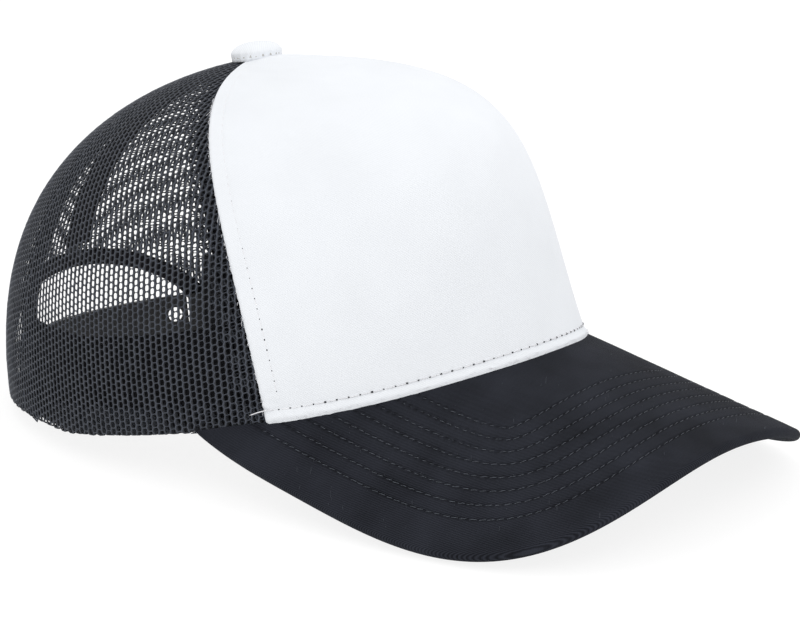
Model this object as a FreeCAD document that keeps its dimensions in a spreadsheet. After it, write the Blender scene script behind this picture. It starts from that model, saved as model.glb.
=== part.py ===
import FreeCAD, Part
import math
import os
import Sketcher

# A trucker cap: a tall white front panel, mesh sides and back, a curved visor and a snap closure.
# Millimetres. +Z is up, the visor points to -Y, and the wearer's left is +X.
# The shapes are written in crown coordinates, whose origin lies on the table below the middle of the
# head opening. Every sub-part's Placement then moves it to the row's origin.

doc = FreeCAD.newDocument("TruckerCap")

# ---------------------------------------------------------------- driving dimensions
SIZES = [
    ("row_shift_y", 33.92, "crown coordinates to the row's origin"),
    ("crown_front", 106.5, "half length of the head opening towards the visor"),
    ("crown_back", 104.0, "half length of the head opening towards the back"),
    ("crown_half_width", 82.5, "half width of the head opening"),
    ("apex_height", 117.4, "height of the button's seat above the table"),
    ("apex_back", 12.0, "how far the button's seat lies behind the middle"),
    ("front_lean", 0.25, "meridian at the front: first control point moves in by this much radius"),
    ("front_rise", 0.69, "and stands at this much height"),
    ("front_reach", 1.0, "its second control point stays at this much radius"),
    ("front_dip", -0.17, "and lies this much height below the apex"),
    ("side_lean", 0.05, "the same four for the meridian at the side"),
    ("side_rise", 0.61, ""),
    ("side_reach", 0.63, ""),
    ("side_dip", 0.05, ""),
    ("back_lean", -0.17, "and for the meridian at the back"),
    ("back_rise", 0.60, ""),
    ("back_reach", 0.51, ""),
    ("back_dip", 0.09, ""),
    ("side_edge_height", 8.3, "height of the lower edge at the cap's side"),
    ("back_edge_height", 0.0, "height of the lower edge at the back, on the table"),
    ("edge_blend_start", 59.2, "angle where the lower edge begins to leave the visor"),
    ("edge_blend_end", 103.3, "angle where it has left the visor"),
    ("crown_hole_rise", 0.98, "meridian parameter where the panels stop, under the button"),
    ("front_seam_base", 57.8, "angle of the front seam at the lower edge"),
    ("front_seam_sweep", 22.0, "how far it swings back on its way up"),
    ("front_seam_curl", 11.3, "and how much more near the top"),
    ("rear_seam_base", 118.0, "angle of the rear seam at the lower edge"),
    ("rear_seam_top", 135.5, "angle of the rear seam at the button"),
    ("skirt_depth", 4.0, "how far the front panels reach below the visor's top"),
    ("visor_end_angle", 76.0, "angle where the visor ends along the crown"),
    ("visor_height", 60.45, "height of the visor's ridge line above the middle of the crown"),
    ("visor_pitch", 11.3, "slope of the visor's ridge"),
    ("visor_bend", 111.6, "bend radius of the visor across its width"),
    ("visor_centre", 86.1, "centre of the flat visor outline, ahead of the middle"),
    ("visor_half_width", 90.8, "half width of the flat visor outline"),
    ("visor_half_length", 91.8, "half length of the flat visor outline"),
    ("visor_squareness", 3.2, "exponent of the visor outline, 2 for an ellipse"),
    ("twill_thickness", 0.8, "front panel and visor cloth"),
    ("lining_thickness", 0.9, "stiffener behind the front panel"),
    ("mesh_thickness", 1.0, "mesh panels"),
    ("board_thickness", 1.8, "board inside the visor"),
    ("tape_depth", 1.8, "seam tapes lie this far inside the crown"),
    ("tape_thickness", 0.7, "seam tapes and hem"),
    ("tape_width", 12.0, "seam tapes"),
    ("hem_height", 9.0, "turned lower edge of the mesh"),
    ("band_height", 30.0, "sweatband"),
    ("band_depth", 2.7, "sweatband lies this far inside the crown"),
    ("band_back_depth", 6.4, "and this far where it passes the strap tabs"),
    ("band_thickness", 1.5, "sweatband"),
    ("arch_half_width", 45.0, "opening above the straps"),
    ("arch_straight", 9.0, "height where the arch begins to round"),
    ("arch_rise", 24.0, "height of its round part"),
    ("binding_width", 4.5, "binding around the arch"),
    ("binding_thickness", 0.8, "each side of the mesh"),
    ("button_radius", 8.6, "covered button"),
    ("button_dome", 4.4, "height of its cover"),
    ("button_tilt", 9.0, "it leans back with the crown"),
    ("cover_thickness", 0.6, "cloth over the button"),
    ("rivet_radius", 1.5, "shank through the crown"),
    ("washer_radius", 6.0, "inside washer"),
    ("strap_bend", 70.0, "bend radius of the straps, close to that of the crown's back edge"),
    ("strap_lean", 7.0, "straps lean out with the crown's wall"),
    ("strap_low", 0.6, "lower edge of the straps"),
    ("strap_width", 14.0, "snap straps"),
    ("strap_thickness", 1.2, "snap straps"),
    ("strap_inset", 2.8, "outer face of the hole strap inside the bend radius"),
    ("strap_gap", 0.3, "between the two straps"),
    ("strap_hinge_angle", 36.5, "where each strap leaves its sewn tab"),
    ("tab_end_angle", 48.5, "far end of the sewn tabs"),
    ("hole_strap_end", -17.0, "free end of the hole strap"),
    ("stud_strap_end", 28.0, "free end of the stud strap, from the other side"),
    ("knuckle_radius", 0.75, "rounded root of each strap"),
    ("snap_pitch", 9.0, "angle between snaps"),
    ("first_hole", -12.0, "angle of the first hole"),
    ("hole_count", 6, "holes"),
    ("first_stud", -30.0, "angle of the first stud, on the same pitch"),
    ("stud_count", 7, "studs"),
    ("stud_radius", 2.2, "snap studs"),
    ("stud_height", 1.9, "snap studs"),
    ("hole_radius", 2.7, "snap holes"),
]
sheet = doc.addObject("Spreadsheet::Sheet", "Sizes")
for row, (alias, value, note) in enumerate(SIZES, start=1):
    sheet.set(f"A{row}", alias)
    sheet.set(f"B{row}", str(value))
    sheet.set(f"C{row}", note)
    sheet.setAlias(f"B{row}", alias)
doc.recompute()

sheet_values = {alias: float(sheet.get(alias)) for alias, _, _ in SIZES}


def size(alias):
    return sheet_values[alias]


ROW_SHIFT = FreeCAD.Vector(0, size("row_shift_y"), 0)
ZONES = ("front", "side", "back")
sub_parts = []


def keep(feature, label):
    """Names a finished sub-part and puts it in the row's frame."""
    feature.Label = label
    feature.Placement = FreeCAD.Placement(ROW_SHIFT, FreeCAD.Rotation()).multiply(feature.Placement)
    sub_parts.append(feature)
    return feature


# ---------------------------------------------------------------- the crown's shape
def smooth_step(value):
    clipped = min(max(value, 0.0), 1.0)
    return clipped * clipped * (3 - 2 * clipped)


def zone_weights(angle):
    """How much of the front, side and back meridians an angle takes."""
    along = math.cos(math.radians(angle))
    return (max(along, 0) ** 2, 1 - along ** 2, min(along, 0) ** 2)


def zone_mix(trait, angle):
    weights = zone_weights(angle)
    return sum(w * size(f"{zone}_{trait}") for w, zone in zip(weights, ZONES))


def edge_plan(angle):
    """The head opening in plan: two half ellipses. Angle 0 is the front, 90 the wearer's right."""
    turn = math.radians(angle)
    length = size("crown_front") if math.cos(turn) > 0 else size("crown_back")
    return -size("crown_half_width") * math.sin(turn), -length * math.cos(turn)


def visor_cylinder_height(across, along):
    """Height of the visor's bent surface over a plan point."""
    pitch = math.radians(size("visor_pitch"))
    bend = size("visor_bend")
    drop = bend - math.sqrt(bend ** 2 - across ** 2)
    return size("visor_height") + along * math.tan(pitch) - drop / math.cos(pitch)


def edge_height(angle):
    """The lower edge follows the visor at the front and comes down to the table at the back."""
    across, along = edge_plan(angle)
    wrapped = abs((angle + 180) % 360 - 180)
    start, end = size("edge_blend_start"), size("edge_blend_end")
    on_visor = smooth_step((end - wrapped) / (end - start))
    backness = zone_weights(angle)[2]
    rear = size("side_edge_height") * (1 - backness) + size("back_edge_height") * backness
    if on_visor == 0:
        return rear
    return visor_cylinder_height(across, along) * on_visor + rear * (1 - on_visor)


def crown_point(angle, rise):
    """A point of the crown's outer face. Each meridian is one cubic Bezier curve."""
    across, along = edge_plan(angle)
    low, high, apex_y = edge_height(angle), size("apex_height"), size("apex_back")
    b0 = (1 - rise) ** 3
    b1 = 3 * rise * (1 - rise) ** 2
    b2 = 3 * rise ** 2 * (1 - rise)
    b3 = rise ** 3
    radius = b0 + b1 * (1 - zone_mix("lean", angle)) + b2 * zone_mix("reach", angle)
    height = b1 * zone_mix("rise", angle) + b2 * (1 - zone_mix("dip", angle)) + b3
    return FreeCAD.Vector(across * radius, apex_y + (along - apex_y) * radius, low + (high - low) * height)


def crown_normal(angle, rise):
    step_angle, step_rise = 0.2, 0.002
    round_about = crown_point(angle + step_angle, rise) - crown_point(angle - step_angle, rise)
    upward = crown_point(angle, rise + step_rise) - crown_point(angle, rise - step_rise)
    return upward.cross(round_about).normalize()


def crown_inside(angle, rise, depth):
    return crown_point(angle, rise) - crown_normal(angle, rise) * depth


def rise_at(angle, distance):
    """The meridian parameter that lies a distance up the wall from the lower edge."""
    step = 0.002 if distance > 0 else -0.002
    rise, travelled = 0.0, 0.0
    here = crown_point(angle, rise)
    while travelled < abs(distance):
        there = crown_point(angle, rise + step)
        stretch = (there - here).Length
        if travelled + stretch >= abs(distance):
            return rise + step * (abs(distance) - travelled) / stretch
        travelled += stretch
        rise += step
        here = there
    return rise


def skirt_rise(angle):
    """Where the cloth starts: below the visor's top at the front, at the lower edge elsewhere."""
    reach = smooth_step((size("visor_end_angle") - abs(angle)) / 12.0)
    return rise_at(angle, -size("skirt_depth") * reach) if reach > 0 else 0.0


def front_seam(rise):
    return size("front_seam_base") + size("front_seam_sweep") * rise + size("front_seam_curl") * rise ** 3


def rear_seam(rise):
    return size("rear_seam_base") + (size("rear_seam_top") - size("rear_seam_base")) * rise


def back_seam(rise):
    return 180.0


# ---------------------------------------------------------------- solids from two surfaces
def surface_through(point_at, columns, rows):
    grid = [[point_at(i / columns, j / rows) for j in range(rows + 1)] for i in range(columns + 1)]
    surface = Part.BSplineSurface()
    surface.interpolate(grid)
    return surface


def slab_between(outer_at, inner_at, columns, rows):
    """A closed solid between two surfaces given as functions of u and v from 0 to 1."""
    outer = surface_through(outer_at, columns, rows)
    inner = surface_through(inner_at, columns, rows)
    u0, u1, v0, v1 = outer.bounds()
    faces = [outer.toShape(), inner.toShape()]
    for cut_curve in (lambda s: s.uIso(u0), lambda s: s.uIso(u1), lambda s: s.vIso(v0), lambda s: s.vIso(v1)):
        faces.append(Part.makeRuledSurface(cut_curve(outer).toShape(), cut_curve(inner).toShape()))
    shell = Part.makeShell(faces)
    shell.sewShape()
    solid = Part.makeSolid(shell)
    if solid.Volume < 0:
        solid.reverse()
    return solid


def crown_slab(angle_at, rise_at_uv, depth_outer, depth_inner, columns, rows):
    """A layer of the crown. The depths are numbers, or functions of the angle."""
    def layer(depth):
        def point_at(u, v):
            rise = rise_at_uv(u, v)
            angle = angle_at(u, rise)
            inset = depth(angle) if callable(depth) else depth
            return crown_inside(angle, rise, inset)
        return point_at
    return slab_between(layer(depth_outer), layer(depth_inner), columns, rows)


def add_shape(shape, label):
    feature = doc.addObject("Part::Feature", label)
    feature.Shape = shape
    return keep(feature, label)


def arch_prism():
    """The rear opening as a prism along Y, from well below the table."""
    half, rise, straight = size("arch_half_width"), size("arch_rise"), size("arch_straight")
    floor = -20.0
    centre = FreeCAD.Vector(0, 0, straight)
    arc = Part.ArcOfEllipse(Part.Ellipse(centre, half, rise), 0, math.pi).toShape()
    arc.rotate(centre, FreeCAD.Vector(1, 0, 0), 90)
    right_low, right_high = FreeCAD.Vector(half, 0, floor), FreeCAD.Vector(half, 0, straight)
    left_low, left_high = FreeCAD.Vector(-half, 0, floor), FreeCAD.Vector(-half, 0, straight)
    sides = [Part.makeLine(right_low, right_high), arc, Part.makeLine(left_high, left_low)]
    outline = Part.Wire(sides + [Part.makeLine(left_low, right_low)])
    return Part.Face(outline).extrude(FreeCAD.Vector(0, 200, 0))


TOP_RISE = size("crown_hole_rise")
SIDES = (("left", -1), ("right", 1))
FRONT_STACK = size("twill_thickness") + size("lining_thickness")


# ---------------------------------------------------------------- crown panels
def between_seams(first_seam, second_seam, sign=1):
    """Angles across a panel from one seam to the next, at any height."""
    def angle_at(u, rise):
        start, end = first_seam(rise), second_seam(rise)
        return sign * (start + (end - start) * u)
    return angle_at


def mirrored_front_seam(rise):
    return -front_seam(rise)


def panel_rise(first_seam, second_seam):
    """Meridian parameter from the lower edge to the hole under the button."""
    def rise_uv(u, v):
        start, end = first_seam(0.0), second_seam(0.0)
        bottom = skirt_rise(start + (end - start) * u)
        return bottom + (TOP_RISE - bottom) * v
    return rise_uv


def front_layer(depth_outer, depth_inner):
    angle_at = between_seams(mirrored_front_seam, front_seam)
    rise_uv = panel_rise(mirrored_front_seam, front_seam)
    return crown_slab(angle_at, rise_uv, depth_outer, depth_inner, 32, 20)


def build_front():
    twill = size("twill_thickness")
    add_shape(front_layer(0.0, twill), "front_panel")
    add_shape(front_layer(twill, FRONT_STACK), "front_lining")


def mesh_slab(first_seam, second_seam, sign, depth_outer, depth_inner):
    angle_at = between_seams(first_seam, second_seam, sign)
    rise_uv = panel_rise(first_seam, second_seam)
    return crown_slab(angle_at, rise_uv, depth_outer, depth_inner, 18, 20)


def build_mesh():
    thickness = size("mesh_thickness")
    opening = arch_prism()
    for side, sign in SIDES:
        add_shape(mesh_slab(front_seam, rear_seam, sign, 0.0, thickness), f"side_mesh_{side}")
        back = mesh_slab(rear_seam, back_seam, sign, 0.0, thickness)
        add_shape(back.cut(opening), f"back_mesh_{side}")


# ---------------------------------------------------------------- tapes, hem, binding and sweatband
def strip_over_seam(seam, sign, bottom, top):
    """A tape centred on a seam, narrower near the button so that neighbours stay apart."""
    widest_turn = 16.0

    def angle_at(u, rise):
        centre = seam(rise)
        per_degree = (crown_point(centre + 0.5, rise) - crown_point(centre - 0.5, rise)).Length
        half_turn = min(size("tape_width") / 2 / per_degree, widest_turn)
        return sign * (centre + half_turn * (2 * u - 1))

    outer = size("tape_depth")
    return crown_slab(angle_at, lambda u, v: bottom + (top - bottom) * v,
                      outer, outer + size("tape_thickness"), 4, 20)


def build_tapes():
    top = 0.955
    for side, sign in SIDES:
        add_shape(strip_over_seam(front_seam, sign, 0.003, top), f"seam_tape_front_{side}")
        add_shape(strip_over_seam(rear_seam, sign, 0.003, top), f"seam_tape_rear_{side}")
    above_arch = size("arch_straight") + size("arch_rise") + size("binding_width") + 4.0
    add_shape(strip_over_seam(back_seam, 1, rise_at(180.0, above_arch), top), "seam_tape_back")


def arch_side_angle(clearance):
    """Angle at the lower edge where the crown reaches the side of the arch."""
    half = size("arch_half_width") + clearance
    return 180 - math.degrees(math.asin(half / size("crown_half_width")))


def build_hem():
    outer = size("mesh_thickness")
    start = size("front_seam_base") + 4.5
    end = arch_side_angle(size("binding_width") + 1.0)
    height = size("hem_height")
    for side, sign in SIDES:
        hem = crown_slab(lambda u, rise: sign * (start + (end - start) * u),
                         lambda u, v: rise_at(start + (end - start) * u, 0.3 + height * v),
                         outer, outer + size("tape_thickness"), 24, 3)
        add_shape(hem, f"hem_{side}")


def wall_at(across, height):
    """Angle and rise of the back wall's point that has a given x and z."""
    angle, rise = 180.0, height / size("apex_height") / 2
    for _ in range(25):
        side_reach = crown_point(angle + 0.01, rise).x - crown_point(angle - 0.01, rise).x
        angle += (across - crown_point(angle, rise).x) / side_reach * 0.02
        here = crown_point(angle, rise).z
        slope = (crown_point(angle, rise + 0.001).z - here) / 0.001
        rise += (height - here) / slope
    return angle, rise


def arch_edge(along, grow):
    """A point of the opening's edge in the XZ plane, grown outwards. Along runs from 0 to 1."""
    half, rise = size("arch_half_width"), size("arch_rise")
    straight, floor = size("arch_straight"), 1.2
    side_share = 0.18
    if along < side_share:
        return -half - grow, floor + (straight - floor) * along / side_share
    if along > 1 - side_share:
        return half + grow, floor + (straight - floor) * (1 - along) / side_share
    turn = math.pi * (along - side_share) / (1 - 2 * side_share)
    return -(half + grow) * math.cos(turn), straight + (rise + grow) * math.sin(turn)


def fold_section(v, gap, width):
    """Section of a folded tape: outer leaf, round fold, inner leaf. Gives distance in and depth."""
    middle = size("mesh_thickness") / 2
    radius = middle + gap
    leaf_share = 0.36
    if v < leaf_share:
        return width * (1 - v / leaf_share), middle - radius
    if v > 1 - leaf_share:
        return width * (1 - (1 - v) / leaf_share), middle + radius
    turn = math.pi * (v - leaf_share) / (1 - 2 * leaf_share)
    return -radius * math.sin(turn), middle - radius * math.cos(turn)


def build_binding():
    """A folded binding: outside, inside and around the edge of the rear opening."""
    width = size("binding_width")

    def layer(gap):
        def point_at(u, v):
            inwards, depth = fold_section(v, gap, width)
            return crown_inside(*wall_at(*arch_edge(u, inwards)), depth)
        return point_at
    binding = slab_between(layer(size("binding_thickness")), layer(0.04), 56, 24)
    add_shape(binding, "arch_binding")


def band_inset(angle):
    """The sweatband bulges inwards where it passes the strap tabs."""
    bulge = smooth_step((abs(angle) - 112.0) / 24.0)
    return size("band_depth") + (size("band_back_depth") - size("band_depth")) * bulge


def build_sweatband():
    end = arch_side_angle(1.5)
    height, thickness = size("band_height"), size("band_thickness")
    band = crown_slab(lambda u, rise: end * (2 * u - 1),
                      lambda u, v: rise_at(end * (2 * u - 1), 0.6 + height * v),
                      band_inset, lambda angle: band_inset(angle) + thickness, 64, 5)
    add_shape(band, "sweatband")


# ---------------------------------------------------------------- visor
def visor_outline(turn):
    """The flat outline at an angle from straight ahead: across, and ahead of the middle."""
    across_part = abs(math.sin(turn) / size("visor_half_width")) ** size("visor_squareness")
    ahead_part = abs(math.cos(turn) / size("visor_half_length")) ** size("visor_squareness")
    radius = (across_part + ahead_part) ** (-1 / size("visor_squareness"))
    return radius * math.sin(turn), size("visor_centre") + radius * math.cos(turn)


def bent_plan(across, ahead):
    """Where a point of the flat visor comes to lie once the visor is bent and pitched."""
    pitch, bend = math.radians(size("visor_pitch")), size("visor_bend")
    turn = across / bend
    drop = bend * (1 - math.cos(turn))
    return bend * math.sin(turn), -ahead * math.cos(pitch) + drop * math.sin(pitch)


def outline_end():
    """The outline's angle where it comes nearest to the crown at the visor's end."""
    end_x, end_y = edge_plan(size("visor_end_angle"))

    def distance(turn):
        across, along = bent_plan(*visor_outline(turn))
        return math.hypot(across - abs(end_x), along - end_y)

    candidates = [math.radians(90 + 0.25 * step) for step in range(240)]
    return min(candidates, key=distance)


def visor_edge_point(angle, depth):
    """Where a layer of the visor meets the crown's wall, a hair outside it."""
    clearance = 0.12
    top = crown_point(angle, 0.0)
    level = top.z - depth
    rise = 0.0
    while crown_point(angle, rise).z > level:
        rise -= 0.0005
    wall = crown_point(angle, rise)
    return wall + crown_normal(angle, rise) * clearance


def visor_layer(depth_outer, depth_inner):
    end_angle, end_turn = size("visor_end_angle"), outline_end()
    end_width = 3.0

    def top_point(angle, out):
        inner = visor_edge_point(angle, 0.0)
        outer_x, outer_y = bent_plan(*visor_outline(-end_turn * angle / end_angle))
        outward = FreeCAD.Vector(outer_x - inner.x, outer_y - inner.y, 0)
        short = max(end_width - outward.Length, 0)
        edge_x, edge_y = edge_plan(angle)
        away = FreeCAD.Vector(edge_x, edge_y - size("apex_back"), 0).normalize() * short
        x = inner.x + (outward.x + away.x) * out
        y = inner.y + (outward.y + away.y) * out
        droop = visor_cylinder_height(inner.x, inner.y) - inner.z
        z = visor_cylinder_height(x, y) - droop * (1 - out) ** 2
        return FreeCAD.Vector(x, y, z)

    def normal(angle, out):
        pitch = math.radians(size("visor_pitch"))
        sine = top_point(angle, out).x / size("visor_bend")
        cosine = math.sqrt(1 - sine ** 2)
        return FreeCAD.Vector(sine, -cosine * math.sin(pitch), cosine * math.cos(pitch))

    def layer(depth):
        def point_at(u, v):
            angle = end_angle * (2 * u - 1)
            sunk = top_point(angle, v) - normal(angle, v) * depth
            seat = visor_edge_point(angle, depth * normal(angle, 0.0).z)
            back_to_wall = seat - (top_point(angle, 0.0) - normal(angle, 0.0) * depth)
            return sunk + back_to_wall * (1 - v) ** 6
        return point_at
    return slab_between(layer(depth_outer), layer(depth_inner), 48, 12)


def build_visor():
    cloth, board = size("twill_thickness"), size("board_thickness")
    add_shape(visor_layer(0.0, cloth), "visor_top_cloth")
    add_shape(visor_layer(cloth, cloth + board), "visor_board")
    add_shape(visor_layer(cloth + board, 2 * cloth + board), "visor_under_cloth")


# ---------------------------------------------------------------- button
def seat_placement(above):
    """The tilted seat at the crown's top, moved along its own axis."""
    tilt = FreeCAD.Rotation(FreeCAD.Vector(1, 0, 0), -size("button_tilt"))
    seat = FreeCAD.Vector(0, size("apex_back"), size("apex_height"))
    return FreeCAD.Placement(seat + tilt.multVec(FreeCAD.Vector(0, 0, above)), tilt)


def rounded_disc(name, radius_formula, height_formula, rounding):
    disc = doc.addObject("Part::Cylinder", f"{name}_blank")
    disc.setExpression("Radius", radius_formula)
    disc.setExpression("Height", height_formula)
    doc.recompute()
    top_edges = [number for number, edge in enumerate(disc.Shape.Edges, start=1)
                 if edge.BoundBox.ZMin > disc.Height.Value - 0.01]
    rounded = doc.addObject("Part::Fillet", name)
    rounded.Base = disc
    rounded.Edges = [(number, rounding, rounding) for number in top_edges]
    doc.recompute()
    return rounded


def circle_pad(body, name, radius_formula, height_formula):
    plane = next(item for item in body.Origin.OriginFeatures if item.Role == "XY_Plane")
    sketch = body.newObject("Sketcher::SketchObject", f"{name}_sketch")
    sketch.AttachmentSupport = [(plane, "")]
    sketch.MapMode = "FlatFace"
    sketch.addGeometry(Part.Circle(FreeCAD.Vector(0, 0, 0), FreeCAD.Vector(0, 0, 1), 3.0), False)
    sketch.addConstraint(Sketcher.Constraint("Coincident", 0, 3, -1, 1))
    radius = sketch.addConstraint(Sketcher.Constraint("Radius", 0, 3.0))
    sketch.setExpression(f"Constraints[{radius}]", radius_formula)
    pad = body.newObject("PartDesign::Pad", f"{name}_pad")
    pad.Profile = sketch
    pad.setExpression("Length", height_formula)
    return pad


def build_button():
    lift = 0.25
    cloth = size("cover_thickness")
    cover_rounding = size("button_dome") * 0.86
    outside = rounded_disc("cover_outside", "Sizes.button_radius", "Sizes.button_dome", cover_rounding)
    inner_radius = "Sizes.button_radius - Sizes.cover_thickness"
    inner_height = "Sizes.button_dome - Sizes.cover_thickness"
    inside = rounded_disc("cover_inside", inner_radius, inner_height, cover_rounding - cloth)
    cover = doc.addObject("Part::Cut", "button_cover")
    cover.Base = outside
    cover.Tool = inside
    doc.recompute()
    cover.Placement = seat_placement(lift)
    keep(cover, "button_cover")

    shell = rounded_disc("button_shell", inner_radius, inner_height, cover_rounding - cloth)
    shell.Placement = seat_placement(lift)
    keep(shell, "button_shell")

    below = 4.2
    rivet = doc.addObject("PartDesign::Body", "button_rivet")
    circle_pad(rivet, "shank", "Sizes.rivet_radius", f"{below} + {lift}")
    doc.recompute()
    rivet.Placement = seat_placement(-below)
    keep(rivet, "button_rivet")

    washer = doc.addObject("PartDesign::Body", "button_washer")
    circle_pad(washer, "washer", "Sizes.washer_radius", "0.8")
    doc.recompute()
    washer.Placement = seat_placement(-below - 0.8)
    keep(washer, "button_washer")


# ---------------------------------------------------------------- snap straps
def strap_placement():
    """The straps' own frame: the axis of their bend, leaning out with the crown's wall."""
    lean = FreeCAD.Rotation(FreeCAD.Vector(1, 0, 0), -size("strap_lean"))
    foot = FreeCAD.Vector(0, size("crown_back"), 0)
    return FreeCAD.Placement(foot + lean.multVec(FreeCAD.Vector(0, -size("strap_bend"), 0)), lean)


def ring_sector(name, outer_formula, start, span):
    """A curved flat strap: part of a ring about the bend axis. Angle 0 is the back, + is +X."""
    pieces = []
    for part, formula in (("outer", outer_formula), ("inner", f"{outer_formula} - Sizes.strap_thickness")):
        wedge = doc.addObject("Part::Cylinder", f"{name}_{part}")
        wedge.setExpression("Radius", formula)
        wedge.setExpression("Height", "Sizes.strap_width")
        wedge.Angle = span
        spin = FreeCAD.Rotation(FreeCAD.Vector(0, 0, 1), 90 - start - span)
        wedge.Placement = FreeCAD.Placement(FreeCAD.Vector(0, 0, size("strap_low")), spin)
        pieces.append(wedge)
    ring = doc.addObject("Part::Cut", f"{name}_ring")
    ring.Base, ring.Tool = pieces
    doc.recompute()
    return ring


def on_bend(radius, angle, height):
    turn = math.radians(angle)
    return FreeCAD.Vector(radius * math.sin(turn), radius * math.cos(turn), height)


def rounded_end(name, ring, end_angle):
    """Rounds the two corners of a strap's free end."""
    tip = on_bend(size("strap_bend"), end_angle, 0)
    corners = []
    for number, edge in enumerate(ring.Shape.Edges, start=1):
        middle = edge.BoundBox.Center
        near_tip = math.hypot(middle.x - tip.x, middle.y - tip.y) < 8.0
        if near_tip and abs(edge.Length - size("strap_thickness")) < 0.05:
            corners.append(number)
    rounding = size("strap_width") / 2 - 1.0
    rounded = doc.addObject("Part::Fillet", f"{name}_rounded")
    rounded.Base = ring
    rounded.Edges = [(number, rounding, rounding) for number in corners]
    doc.recompute()
    return rounded


def knuckle(name, mid_radius, angle):
    post = doc.addObject("Part::Cylinder", f"{name}_knuckle")
    post.setExpression("Radius", "Sizes.knuckle_radius")
    post.setExpression("Height", "Sizes.strap_width")
    post.Placement = FreeCAD.Placement(on_bend(mid_radius, angle, size("strap_low")), FreeCAD.Rotation())
    return post


def outward_turn(angle):
    """Turns +Z to point away from the bend axis at an angle."""
    return FreeCAD.Rotation(FreeCAD.Vector(0, 0, 1), on_bend(1.0, angle, 0))


def fuse(name, features):
    joined = doc.addObject("Part::MultiFuse", name)
    joined.Shapes = features
    doc.recompute()
    return joined


HOLE_STRAP_RADIUS = "Sizes.strap_bend - Sizes.strap_inset"
STUD_STRAP_RADIUS = f"{HOLE_STRAP_RADIUS} - Sizes.strap_thickness - Sizes.strap_gap"
HINGE = size("strap_hinge_angle")
TAB_START = HINGE + 1.15
MIDDLE_HEIGHT = size("strap_low") + size("strap_width") / 2


def build_hole_strap():
    outer = size("strap_bend") - size("strap_inset")
    end = size("hole_strap_end")
    ring = ring_sector("hole_strap", HOLE_STRAP_RADIUS, end, HINGE - end)
    body = rounded_end("hole_strap", ring, end)
    root = knuckle("hole_strap", outer - size("strap_thickness") / 2, HINGE)
    holes = []
    for index in range(int(size("hole_count"))):
        angle = size("first_hole") + index * size("snap_pitch")
        hole = doc.addObject("Part::Cylinder", f"snap_hole_{index + 1}")
        hole.setExpression("Radius", "Sizes.hole_radius")
        hole.Height = 6.0
        hole.Placement = FreeCAD.Placement(on_bend(outer - 3.0, angle, MIDDLE_HEIGHT), outward_turn(angle))
        holes.append(hole)
    strap = doc.addObject("Part::Cut", "hole_strap")
    strap.Base = fuse("hole_strap_solid", [body, root])
    strap.Tool = fuse("snap_holes", holes)
    doc.recompute()
    strap.Placement = strap_placement()
    keep(strap, "hole_strap")


def build_stud_strap():
    outer = size("strap_bend") - size("strap_inset") - size("strap_thickness") - size("strap_gap")
    end = size("stud_strap_end")
    ring = ring_sector("stud_strap", STUD_STRAP_RADIUS, -HINGE, end + HINGE)
    body = rounded_end("stud_strap", ring, end)
    root = knuckle("stud_strap", outer - size("strap_thickness") / 2, -HINGE)
    studs = []
    for index in range(int(size("stud_count"))):
        angle = size("first_stud") + index * size("snap_pitch")
        stud = rounded_disc(f"snap_stud_{index + 1}", "Sizes.stud_radius", "Sizes.stud_height + 0.5",
                            size("stud_height") * 0.9)
        stud.Placement = FreeCAD.Placement(on_bend(outer - 0.5, angle, MIDDLE_HEIGHT), outward_turn(angle))
        studs.append(stud)
    strap = fuse("stud_strap", [body, root] + studs)
    strap.Placement = strap_placement()
    keep(strap, "stud_strap")


def build_tabs():
    span = size("tab_end_angle") - TAB_START
    for side, formula, start in (("left", HOLE_STRAP_RADIUS, TAB_START),
                                 ("right", STUD_STRAP_RADIUS, -size("tab_end_angle"))):
        tab = ring_sector(f"strap_tab_{side}", formula, start, span)
        tab.Placement = strap_placement()
        keep(tab, f"strap_tab_{side}")


build_front()
build_mesh()
build_tapes()
build_hem()
build_binding()
build_sweatband()
build_visor()
build_button()
build_hole_strap()
build_stud_strap()
build_tabs()
doc.recompute()

# ---------------------------------------------------------------- checks and export
for feature in doc.Objects:
    if "Invalid" in feature.State or "Error" in feature.State:
        raise RuntimeError(f"{feature.Name} is {feature.State}")
os.makedirs("parts", exist_ok=True)
for feature in sub_parts:
    shape = feature.Shape
    if shape.isNull() or not shape.isValid() or shape.Volume <= 0:
        raise RuntimeError(f"{feature.Label} has no valid shape")
    shape.exportStep(f"parts/{feature.Label}.step")
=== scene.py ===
import math
import bmesh
import bpy
import numpy as np
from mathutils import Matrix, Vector


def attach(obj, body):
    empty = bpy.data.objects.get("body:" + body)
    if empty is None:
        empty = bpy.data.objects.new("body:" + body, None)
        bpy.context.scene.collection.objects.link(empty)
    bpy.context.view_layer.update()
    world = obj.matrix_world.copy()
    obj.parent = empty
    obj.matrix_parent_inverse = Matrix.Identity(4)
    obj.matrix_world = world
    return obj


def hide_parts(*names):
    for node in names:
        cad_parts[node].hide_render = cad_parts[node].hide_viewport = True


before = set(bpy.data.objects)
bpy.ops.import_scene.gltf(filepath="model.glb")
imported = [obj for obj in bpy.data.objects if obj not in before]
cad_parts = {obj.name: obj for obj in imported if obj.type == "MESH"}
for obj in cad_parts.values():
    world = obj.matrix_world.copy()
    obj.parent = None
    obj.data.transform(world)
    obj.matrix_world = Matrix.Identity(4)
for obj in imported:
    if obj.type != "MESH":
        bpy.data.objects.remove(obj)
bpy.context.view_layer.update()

# A trucker cap on a pale table. Shapes are written in millimetres in crown coordinates, whose origin
# is on the table below the middle of the head opening, and to_row turns them into the row's metres.
# Angles go round the crown in degrees: 0 is the front, 90 the wearer's right, 180 the back.
ROW_SHIFT_Y = 33.92
MM = 0.001
SEED = 20

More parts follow.
